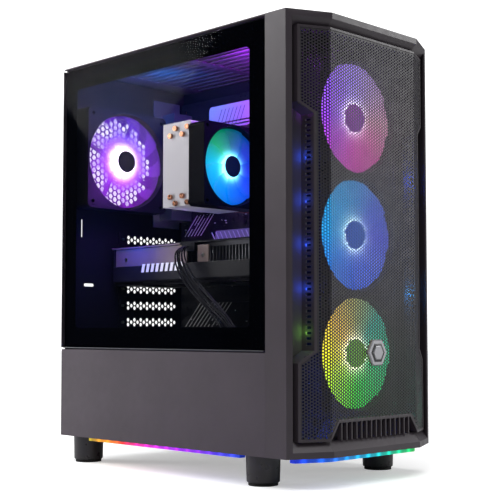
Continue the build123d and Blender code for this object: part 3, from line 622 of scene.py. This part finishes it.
def blade_points(base, hub, radius, front, rear, sweep, flat):
    """One blade's points as (u, v, w), w along the axis: swept and cambered, and steeper near the hub
    unless flat."""
    points = []
    root = hub - 0.5 * MM
    for side in (-0.5, 0.5):
        for i in range(ACROSS + 1):
            share = i / ACROSS
            r = root + (radius - root) * share
            width = sweep * (0.86 + 0.14 * share)
            lean = 0.32 * share * share
            pitch = 0.34 if flat else 0.75 - 0.2 * share
            for j in range(ALONG + 1):
                chord = j / ALONG
                turn = base + lean + (chord - 0.5) * width
                rise = chord * chord * 0.35 + chord * 0.65
                w = front + 3.4 * MM + (rear - front - 4.8 * MM) * rise * pitch
                points.append((r * cos(turn), r * sin(turn), w + side * BLADE_THICK))
    return points


def build_rotor(body, axis, radius, hub, depth, blades, material, hub_material, slot, lit=False):
    """A hub with blades, replacing a body's plain CAD rotor.

    On an axis along Y the blades are flatter and overlap more. lit gives the hub a glowing side.
    """
    centre = frame_joint(body + "_spin")
    node = frame["record"]["behaviour"]["bodies"][body][0]
    front = -depth / 2 + 2.5 * MM
    rear = depth / 2 - 5.5 * MM
    turned = {
        "Y": lambda u, v, w: centre + Vector((u, w, v)),
        "Z": lambda u, v, w: centre + Vector((u, v, w)),
    }[axis]
    flat = axis == "Y"
    sweep = 2 * pi / blades * (1.5 if flat else 1.22)
    verts = []
    faces = []
    for blade in range(blades):
        faces += blade_faces(len(verts))
        base = 2 * pi * blade / blades
        verts += [turned(*point) for point in blade_points(base, hub, radius, front, rear, sweep, flat)]
    add_piece(body + "_blades", verts, faces, material, body, slot, (node,), smooth=True)

    boss, boss_end = 1.5 * MM, rear + 3.5 * MM
    cap = [(0.0, front), (hub * 0.72, front), (hub * 0.92, front + 0.6 * MM)]
    side = [(hub, front + 2.2 * MM), (hub, rear), (hub * 0.8, rear), (boss, rear)]
    if lit:
        add_spun(body + "_hub", cap + [(0.0, front + 0.6 * MM)], turned, hub_material, body, slot)
        edge = (hub * 0.9, front + 0.7 * MM)
        add_spun(body + "_hub_side", [edge, *side], turned, material, body, slot)
    else:
        profile = cap + side + [(boss, boss_end), (0.0, boss_end)]
        soften(add_spun(body + "_hub", profile, turned, hub_material, body, slot), 0.3 * MM, angle=50)


def build_painted_halo(body, core, hub, radius, power):
    """A thin glowing disc behind an inner fan's blades: painted glow that spreads the hub's light outwards; the
    fan has no such part.
    """
    centre = frame_joint(body + "_spin")
    glow = lit_plastic(body + "_halo", centre, FAN_COLOURS[body], (hub, radius), power, core, HALO_GLOW,
                       HALO_WHITE, fade=HALO_COVER)
    inner, outer, thick = hub * MM, radius * MM, 0.4 * MM

    def turned(u, v, w):
        return centre + Vector((u, w - 1.5 * MM, v))

    profile = [(inner, 0.0), (outer, 0.0), (outer, thick), (inner, thick)]
    add_spun(body + "_halo", profile, turned, glow, body, "fan_blade_plastic")


def build_fans(black):
    """All rotors. The inner fans are clearer than the front ones and have a lit hub side and a halo of painted
    glow.
    """
    for body, core, hub_glow, power, alpha, fall, radius, hub in LIT_FANS:
        blades = lit_plastic(body + "_glow", frame_joint(body + "_spin"), FAN_COLOURS[body], (hub, radius),
                             power, core, fall, alpha=alpha)
        hub_paint = surface(body + "_hub", (0.003, 0.003, 0.005), roughness=0.4, Specular_IOR_Level=0.15,
                            Emission_Color=(*hub_glow, 1), Emission_Strength=1.4)
        build_rotor(body, "Y", radius * MM, hub * MM, 25 * MM, 9, blades, hub_paint,
                    "fan_blade_plastic", lit=fall is not FRONT_GLOW)
    # Painted glow discs behind the inner fans' blades, not lamps.
    build_painted_halo("rear_fan", (1, 0.9, 1), 14.6, 39.0, 4.0)
    build_painted_halo("cooler_fan", (0.6, 1, 1), 13.1, 22.0, 1.6)
    for body, radius, hub, depth, blades in PLAIN_FANS:
        build_rotor(body, "Z", radius * MM, hub * MM, depth * MM, blades, black, black, "card_fan_plastic")


# ---- glass --------------------------------------------------------------
def rounded_rectangle(low, high, radius, steps=6):
    """Points round a rectangle with rounded corners, in Y and Z."""
    points = []
    corners = [(high[0] - radius, high[1] - radius), (low[0] + radius, high[1] - radius),
               (low[0] + radius, low[1] + radius), (high[0] - radius, low[1] + radius)]
    for quarter, (y, z) in enumerate(corners):
        for step in range(steps + 1):
            turn = (quarter + step / steps) * pi / 2
            points.append((y + radius * cos(turn), z + radius * sin(turn)))
    return points


def build_glass_border(ink):
    """The black border printed on the inside of the glass."""
    inset, off_glass, thick = 0.3 * MM, 0.02 * MM, 0.2 * MM
    at_front, at_rear, at_bottom, at_top = 25.1 * MM, 20.7 * MM, 22.5 * MM, 23.5 * MM
    low = (GLASS_LOW[1] + inset, GLASS_LOW[2] + inset)
    high = (GLASS_HIGH[1] - inset, GLASS_HIGH[2] - inset)
    outer = rounded_rectangle(low, high, 3 * MM)
    inner = rounded_rectangle((low[0] + at_front, low[1] + at_bottom),
                              (high[0] - at_rear, high[1] - at_top), 5 * MM)
    verts = [(GLASS_HIGH[0] + x, y, z) for x in (off_glass, thick) for y, z in outer + inner]
    count = len(outer)
    faces = []
    for first, second in ((0, 1), (2, 3), (0, 2), (1, 3)):
        faces += band(first * count, second * count, count)
    add_piece("glass_black_border", verts, faces, ink, "glass_door", "tempered_glass")


def build_glass_edge(material):
    """The ground bottom edge of the glass: a pale grey strip, its ground face's own tone with a painted highlight
    along it.
    """
    low, high = GLASS_LOW, GLASS_HIGH
    add_boxes("glass_bottom_edge", [((low[0] + 0.2 * MM, low[1] + 3 * MM, low[2] - 0.5 * MM),
                                     (low[0] + 1.4 * MM, high[1] - 3 * MM, low[2] + 0.3 * MM))],
              material, "glass_door", "tempered_glass")


def build_roof_lip(material):
    """The folded lip of the roof behind the top edge of the glass."""
    high = GLASS_HIGH
    add_boxes("roof_lip", [((high[0] + 0.6 * MM, GLASS_LOW[1] + 3 * MM, high[2] - 7 * MM),
                            (high[0] + 1.6 * MM, high[1] - 4 * MM, high[2] + 1.3 * MM))],
              material, "chassis", "case_steel")


# ---- cables -------------------------------------------------------------
# Routes in millimetres, as in the CAD.
GPU_CABLE = [
    (-45, 41, 245), (-57, 41, 245), (-61, 38, 226), (-60, 19, 203), (-60, -8, 182),
    (-60, -36, 160), (-61, -57, 138), (-64, -56, 112), (-64, -34, 92), (-64, -2, 87),
    (-60, 22, 86), (-49, 34, 86), (-46, 45, 86),
]
ATX_CABLE = [
    (54, -61, 348), (43, -61, 348), (39, -75, 353), (50, -91, 354), (70, -96, 352),
    (88, -97, 340), (95, -97, 312), (96, -95, 262), (96, -96, 214), (95, -93, 166), (95, -82, 128),
    (93, -50, 104), (87, -12, 92), (70, 16, 88), (40, 28, 88), (6, 30, 88), (-18, 31, 88),
    (-31, 35, 87), (-34, 45, 86),
]
FAN_LEADS = [
    [(67, -58, 200.5), (57, -60, 200), (40, -72, 198), (20, -86, 192), (14, -106, 184), (16, -130, 178),
     (18, -143, 176)],
    [(64, -50, 296), (52, -58, 292), (40, -72, 290), (34, -96, 296), (34, -120, 306), (36, -143, 310)],
]


def add_wire(name, points, radius, material, replaced=()):
    """A round wire that rides on the chassis, along a smooth curve led by points."""
    data = bpy.data.curves.new(name, "CURVE")
    data.dimensions = "3D"
    data.bevel_depth = radius
    data.bevel_resolution = 3
    data.resolution_u = 10
    data.use_fill_caps = True
    spline = data.splines.new("NURBS")
    spline.points.add(len(points) - 1)
    for point, place in zip(spline.points, points):
        point.co = (*place, 1)
    spline.order_u = 3
    spline.use_endpoint_u = True
    data.materials.append(material)
    wire = bpy.data.objects.new(name, data)
    bpy.context.scene.collection.objects.link(wire)
    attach(wire, "chassis")
    if replaced:
        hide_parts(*replaced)


def bundle(name, route, offsets, radius, material, node, spread_axis, stray=0.0):
    """Several wires side by side along one route, each straying a little between its ends.

    The first one replaces the CAD node. offsets, radius and stray are in millimetres.
    """
    random = Random(11)
    spread = Vector(spread_axis)
    places = [Vector(p) * MM for p in route]
    last = len(places) - 1
    for number, (u, v) in enumerate(offsets):
        moved = []
        for index, place in enumerate(places):
            ahead = places[min(index + 1, last)] - places[max(index - 1, 0)]
            sideways = ahead.cross(spread).normalized()
            loose = stray if 1 < index < last - 1 else 0.0
            u_here = u + random.uniform(-loose, loose)
            v_here = v + random.uniform(-loose, loose) * 0.5
            moved.append(place + sideways * u_here * MM + spread * v_here * MM)
        add_wire(f"{name}_{number}", moved, radius * MM, material, (node,) if number == 0 else ())


def build_cables(sleeve):
    along_x, along_z = (1, 0, 0), (0, 0, 1)
    two_by_four = [(u, v) for v in (-1.4, 1.4) for u in (-6.0, -2.0, 2.0, 6.0)]
    bundle("gpu_power_wire", GPU_CABLE, two_by_four, 0.95, sleeve, "gpu_power_cable", along_x, stray=1.6)
    two_by_three = [(u, v) for v in (-1.5, 1.5) for u in (-3.0, 0.0, 3.0)]
    bundle("atx_wire", ATX_CABLE, two_by_three, 1.4, sleeve, "atx_cable", along_z)
    twin = [(0.0, -1.0), (0.0, 1.0)]
    for number, lead in enumerate(FAN_LEADS):
        bundle(f"fan_lead_{number}", lead, twin, 0.9, sleeve, "front_panel_wires", along_x)


# ---- board details ------------------------------------------------------
CHIP_BANDS = ((141, 196), (204, 240), (278, 296))
CHIP_COUNT, DARK_CHIP_COUNT = 150, 90


def build_chokes(material):
    """Square power coils: a row above the processor and a column behind it."""
    deep, half, tall = 7 * MM, 3.4 * MM, 7.5 * MM
    above, back = 376 * MM, 104 * MM
    face = BOARD_FACE
    chokes = [((face - deep, y - half, above), (face, y + half, above + tall)) for y in spaced(26, 8.4, 8)]
    chokes += [((face - deep, back, z), (face, back + 7 * MM, z + 7 * MM)) for z in spaced(306, 11, 5)]
    add_boxes("board_chokes", chokes, material, "chassis", "socket_plastic", 0.5 * MM)


def build_capacitors(material):
    """Round cans: one row below the coils, one column beside them, and a row under the card."""
    face = BOARD_FACE
    cans = [(face, face - 9 * MM, y, 370 * MM, 3.0 * MM) for y in spaced(24, 8, 9)]
    cans += [(face, face - 9 * MM, 113.5 * MM, z, 2.6 * MM) for z in spaced(303, 9, 7)]
    cans += [(face, face - 8 * MM, y, 208 * MM, 2.8 * MM) for y in spaced(126, 9, 5)]
    add_rods("board_capacitors", cans, material, "chassis", "port_metal")


def build_chips(dark, light):
    """Small parts scattered over the free areas: dark chips, then thin light resistors."""
    random = Random(7)
    chips = []
    for _ in range(CHIP_COUNT):
        y = random.uniform(-58, 172) * MM
        z = random.choice([random.uniform(*ends) for ends in CHIP_BANDS]) * MM
        wide = random.uniform(1.5, 7) * MM
        tall = random.uniform(1.5, 5) * MM
        chips.append(((BOARD_FACE - 1.2 * MM, y, z), (BOARD_FACE, y + wide, z + tall)))
    add_boxes("board_chips", chips[:DARK_CHIP_COUNT], dark, "chassis", "socket_plastic")
    resistors = [(low, (high[0], low[1] + (high[1] - low[1]) * 0.4, low[2] + 1.2 * MM))
                 for low, high in chips[DARK_CHIP_COUNT:]]
    add_boxes("board_resistors", resistors, light, "chassis", "port_metal")


def build_stripes(light, cut):
    """Slanted lines printed on the board and the low flat cooler, and dark bars on the high one where its grooves
    are: painted shade in the grooves.
    """
    high_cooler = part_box("board_heatsinks")[0][0]
    low_cooler = 60 * MM
    laminate, aluminium = "board_laminate", "heatsink_aluminium"
    rows = [
        # name, first y, pitch, count, z, wide, tall, lean (mm), face (m), proud (mm), material, slot
        ("board_print_low", 170, -7, 9, 156, 1.5, 36, 34, BOARD_FACE, 0.1, light, laminate),
        ("board_print_high", 172, -6, 6, 271, 1.3, 26, 24, BOARD_FACE, 0.1, light, laminate),
        ("cooler_lines", 78, -6.5, 7, 397, 0.8, 20, 9, high_cooler, 0.15, cut, aluminium),
        ("stick_lines", 104, -7.5, 10, 257.5, 1.4, 15, -9, low_cooler, 0.15, light, aluminium),
    ]
    for name, first, pitch, count, z, wide, tall, lean, face, proud, material, slot in rows:
        places = [(y, z * MM) for y in spaced(first, pitch, count)]
        slanted_bars(name, places, wide * MM, tall * MM, lean * MM, face, proud * MM, material, slot)


def build_badge_relief(metal, dark):
    """A plain raised hexagon in a dark groove on the badge."""
    low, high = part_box("badge")
    middle_z = (low[2] + high[2]) / 2
    hexagons = (("badge_groove", 10.5, 0.25, dark), ("badge_centre", 7.8, 0.9, metal))
    for name, radius, rise, material in hexagons:
        base, shoulder, face = low[1] + 0.3 * MM, low[1] - rise * MM * 0.6, low[1] - rise * MM
        verts = []
        for y, grow in ((base, 1.0), (shoulder, 1.0), (face, 0.9)):
            reach = radius * MM * grow
            for k in range(6):
                verts.append((reach * cos(pi / 3 * k), y, middle_z + reach * sin(pi / 3 * k)))
        add_piece(name, verts, lidded(0, 3, 6), material, "front_panel", "badge_metal")


def build_card_details(white, plate, dark):
    """The side of the graphics card: a plain hatch of white print bars with a faint painted glow, a pale cover
    plate and its screws.
    """
    side = CARD_LOW[0]
    hatch = [(y, CARD_LOW[2] + 14.5 * MM) for y in spaced(118, -8.4, 9)]
    slanted_bars("card_hatch", hatch, 4.6 * MM, 9.6 * MM, 2.4 * MM, side, 0.4 * MM, white, "bracket_white")
    x = side + 1.0 * MM
    rim = CARD_LOW[2] + 22.5 * MM
    long_plate = ((x, 44 * MM, rim - 1 * MM), (x + 2 * MM, 172 * MM, CARD_TOP - 4.5 * MM))
    short_plate = ((x, 8 * MM, rim - 1 * MM), (x + 2 * MM, 26 * MM, CARD_TOP - 6 * MM))
    top_strip = ((side - 0.3 * MM, 54 * MM, CARD_TOP - 4.2 * MM),
                 (side + 0.5 * MM, 178 * MM, CARD_TOP - 2.4 * MM))
    add_boxes("card_side_cover", [long_plate, short_plate, top_strip], plate, "chassis", "bracket_white",
              0.4 * MM)
    screws = [(x, x - 0.9 * MM, y * MM, rim + 8 * MM, 2.2 * MM) for y in (152, 60, 17)]
    add_rods("card_cover_screws", screws, dark, "chassis", "port_metal")


# ---- finishes -----------------------------------------------------------
def make_finishes():
    """Every plain finish, by a short name."""
    return {
        "steel": surface("case_powder_coat", (0.05, 0.04, 0.05), 0.44, grain=0.12, grain_scale=1400),
        "plastic": surface("front_satin_plastic", (0.047, 0.038, 0.046), 0.38, grain=0.08, grain_scale=2200),
        "black_steel": surface("inner_black_steel", (0.01, 0.01, 0.012), 0.6, grain=0.1, grain_scale=1400,
                               Specular_IOR_Level=0.12),
        "mesh": surface("mesh_steel", (0.036, 0.033, 0.038), 0.45, Specular_IOR_Level=0.35),
        "chrome": surface("badge_silver", (0.34, 0.34, 0.36), 0.42, metallic=0.7, grain=0.1),
        "foot": surface("foot_plastic", (0.026, 0.024, 0.027), 0.3, grain=0.05),
        "rubber": surface("pad_rubber", (0.015, 0.015, 0.015), 0.85, grain=0.3, grain_scale=900),
        "filter": surface("filter_weave", (0.02, 0.02, 0.022), 0.55),
        "key": surface("key_gloss", (0.03, 0.03, 0.032), 0.25),
        "socket": surface("socket_black", (0.012, 0.012, 0.013), 0.4, grain=0.05),
        "thumbscrew": surface("thumbscrew_black", (0.03, 0.03, 0.032), 0.35, metallic=0.7),
        "zinc": surface("zinc_screw", (0.5, 0.5, 0.5), 0.3, metallic=1.0),
        "laminate": surface("board_mask", (0.008, 0.009, 0.012), 0.3, variation=0.3, patch=160.0),
        "brass": surface("standoff_brass", (0.7, 0.5, 0.22), 0.3, metallic=1.0),
        "plated": surface("port_plating", (0.5, 0.5, 0.52), 0.35, metallic=0.9),
        "anodised": surface("heatsink_anodised", (0.32, 0.32, 0.36), 0.35, metallic=0.8, grain=0.1,
                            brushed=(1, 20, 1)),
        "board_cooler": surface("board_cooler", (0.4, 0.38, 0.4), 0.4, metallic=0.2, variation=0.04,
                                grain=0.03),
        "memory": surface("memory_spreader", (0.03, 0.03, 0.034), 0.35, metallic=0.5),
        "fins": surface("fin_aluminium", (0.66, 0.64, 0.68), 0.38, metallic=0.25, variation=0.03, grain=0.02,
                        brushed=(1, 1, 14)),
        "copper": surface("pipe_copper", (0.6, 0.28, 0.17), 0.22, metallic=1.0),
        "fan_black": surface("fan_frame_black", (0.014, 0.014, 0.018), 0.5, Specular_IOR_Level=0.2),
        # The cooler fan's frame is the same black plastic as the other fan frames, drawn darker and less glossy:
        # painted shade.
        "shaded_fan_black": surface("cooler_frame_painted_shade", (0.003, 0.003, 0.005), 0.4, Specular_IOR_Level=0.04),
        "shroud": surface("card_shroud", (0.018, 0.018, 0.021), 0.4, grain=0.06),
        "white": surface("bracket_white", (0.36, 0.33, 0.34), 0.4),
        "print": surface("print_white", (0.85, 0.85, 0.86), 0.45, variation=0.03),
        "card_plate": surface("card_cover_plate", (0.26, 0.2, 0.17), 0.42),
        # White print on the card with a faint emission: painted glow, since the print holds no lamp.
        "card_print_painted_glow": surface("card_print_painted_glow", (0.8, 0.8, 0.8), 0.5, variation=0.03,
                              Emission_Color=(1, 1, 1, 1), Emission_Strength=0.4),
        # Dark bars on the high cooler where its grooves are: painted shade, the grooves' own shadow.
        "groove_shade": surface("groove_shade_bars", (0.03, 0.03, 0.035), 0.5),
        "supply": surface("supply_black", (0.014, 0.014, 0.015), 0.5, grain=0.2),
        "drive": surface("drive_cast", (0.45, 0.45, 0.47), 0.4, metallic=0.9),
        "sleeve": surface("cable_sleeve", (0.008, 0.008, 0.014), 0.2, grain=0.1, grain_scale=2500),
        "ink": surface("glass_ink", (0.0004, 0.0004, 0.0004), 0.5, Specular_IOR_Level=0.0),
        # The glass's bottom edge: pale grey for its ground face, with a painted highlight.
        "glass_edge": surface("glass_edge_painted_highlight", (0.1, 0.105, 0.11), 0.3),
    }


NODE_FINISHES = {
    "steel": ("top_panel", "lower_side_panel", "right_side_panel", "bottom_plate", "glass_rail"),
    "black_steel": ("rear_panel", "front_wall", "motherboard_tray", "psu_shroud", "drive_cage",
                    "slot_covers"),
    "plastic": ("front_bezel", "front_insert"),
    "chrome": ("badge",),
    "foot": ("feet",),
    "rubber": ("foot_pads",),
    "key": ("power_button", "reset_button", "psu_switch"),
    "socket": ("front_io_board", "board_sockets", "psu_inlet"),
    "thumbscrew": ("glass_thumbscrews", "side_thumbscrews"),
    "zinc": ("case_screws",),
    "laminate": ("motherboard", "gpu_board", "psu_board"),
    "brass": ("standoffs",),
    "plated": ("rear_io_block",),
    "anodised": ("gpu_heatsink",),
    "board_cooler": ("board_heatsinks",),
    "memory": ("ram_modules",),
    "fins": ("cooler_fins", "cooler_base"),
    "copper": ("heat_pipes",),
    "fan_black": ("front_fan_frames", "rear_fan_frame"),
    "shaded_fan_black": ("cooler_fan_frame",),
    "shroud": ("gpu_shroud",),
    "white": ("gpu_bracket",),
    "supply": ("psu_case",),
    "drive": ("hard_drive",),
}
SIDE_COLOURS = [(0.02, 0.08, 1.0), (0.08, 0.05, 1.0), (0.3, 0.03, 1.0), (0.45, 0.02, 1.0), (0.7, 0.02, 0.9),
                (1.0, 0.02, 0.5), (1.0, 0.03, 0.02), (1.0, 0.35, 0.01), (0.35, 0.3, 0.02)]
FRONT_COLOURS = [(0.01, 0.05, 1.0), (0.01, 0.2, 1.0), (0.0, 0.6, 1.0), (0.0, 0.85, 0.5), (0.01, 0.8, 0.1)]
SOFT_EDGES_MM = {"front_bezel": 0.5, "front_insert": 0.3, "right_side_panel": 0.35,
                 "lower_side_panel": 0.35, "top_panel": 0.35, "glass_rail": 0.25}


def paint_nodes(finishes):
    """Give every CAD node its finish."""
    for finish, names in NODE_FINISHES.items():
        paint(finishes[finish], *names)
    paint(glass_material(), "glass_panel")
    paint(light_strip("side_strip_glow", "led_strip_side", "Y", SIDE_COLOURS), "led_strip_side")
    paint(light_strip("front_strip_glow", "led_strip_front", "X", FRONT_COLOURS), "led_strip_front")


def add_finer_pieces(finishes):
    """The pieces that replace plain CAD nodes or add to them."""
    build_front_mesh(finishes["mesh"])
    build_filter("top_filter", TOP - 0.9 * MM, 3.0 * MM, 0.7 * MM, finishes["filter"])
    supply_filter_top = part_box("psu_filter")[1][2]
    build_filter("psu_filter", supply_filter_top - 1.6 * MM, 3.6 * MM, 1.2 * MM, finishes["filter"])
    build_fans(finishes["fan_black"])
    build_glass_border(finishes["ink"])
    build_glass_edge(finishes["glass_edge"])
    build_cables(finishes["sleeve"])
    build_chokes(finishes["socket"])
    build_capacitors(finishes["zinc"])
    build_chips(finishes["laminate"], finishes["print"])
    build_roof_lip(finishes["black_steel"])
    build_card_details(finishes["card_print_painted_glow"], finishes["card_plate"], finishes["zinc"])
    build_stripes(finishes["print"], finishes["groove_shade"])
    build_badge_relief(finishes["chrome"], finishes["key"])
    for node, width in SOFT_EDGES_MM.items():
        soften(nodes[node], width * MM)


# ---- lights -------------------------------------------------------------
BLUE, VIOLET, LIME = (0.02, 0.1, 1.0), (0.4, 0.05, 1.0), (0.15, 0.45, 0.04)
SKY, TEAL = (0.02, 0.3, 0.8), (0.05, 0.6, 0.3)


def add_studio_lights():
    """Two boxes that draw the highlights, two fills that no surface mirrors, and light from above."""
    add_softbox("left_rear_box", (-1.03, 1.16, 1.18), (1.05, 0.9), 26, aim=(0, 1.16, 1.18), roll=42.7)
    add_softbox("right_front_box", (2.0, -1.4, 0.95), (1.0, 1.5), 24)
    add_softbox("through_glass", (-1.5, -1.1, 1.3), (0.6, 0.6), 5.0, aim=(0, 0, 0.3), mirrored=False)
    add_softbox("left_low_fill", (-0.6, 0.85, 0.14), (0.3, 0.3), 8.5, aim=(-0.1, 0.1, 0.1), mirrored=False)
    add_sun("overhead", (8, -6, 0), 1.9, 50)


def add_case_lights():
    """Coloured lamps: beside the inner fans, under the roof, behind the mesh and in the side channel."""
    rear = frame_joint("rear_fan_spin")
    add_glow("rear_fan_light", rear + Vector((-0.03, -0.03, -0.03)), 0.45, (0.42, 0.08, 1.0))
    cooler = frame_joint("cooler_fan_spin")
    add_glow("cooler_fan_light", cooler - Vector((0, 0.04, 0)), 0.4, (0.03, 0.22, 1.0))
    add_glow("roof_light", (-0.03, -0.04, 0.428), 2.0, (0.4, 0.03, 1.0), 0.02)
    add_glow("rear_top_light", (-0.03, 0.11, 0.437), 0.7, (0.0, 0.24, 1.0), 0.02)
    add_glow("rear_wall_light", (-0.075, 0.13, 0.25), 0.16, (0.02, 0.07, 1.0), 0.02)

    left_side = [VIOLET, VIOLET, BLUE, BLUE, BLUE, BLUE, LIME, BLUE, BLUE]
    spots = [(-0.083, 0.405 - 0.0425 * step, 0.05, colour) for step, colour in enumerate(left_side)]
    spots += [(0.07, 0.31, 0.1, BLUE), (0.075, 0.19, 0.1, SKY), (0.07, 0.075, 0.1, TEAL),
              (0.0, 0.06, 0.12, BLUE), (-0.05, 0.055, 0.08, BLUE)]
    behind_mesh = FRONT + 21 * MM
    for number, (x, z, power, colour) in enumerate(spots):
        add_glow(f"mesh_light_{number}", (x, behind_mesh, z), power, colour, 0.004)
    for number in range(6):
        add_glow(f"channel_light_{number}", (-0.1, -0.15, 0.34 - number * 0.04), 0.012, BLUE, 0.003)


# ---- everything ---------------------------------------------------------
bpy.context.scene.view_settings.view_transform = "Standard"
add_camera()
add_world()
add_floor()
all_finishes = make_finishes()
paint_nodes(all_finishes)
add_finer_pieces(all_finishes)
add_studio_lights()
add_case_lights()
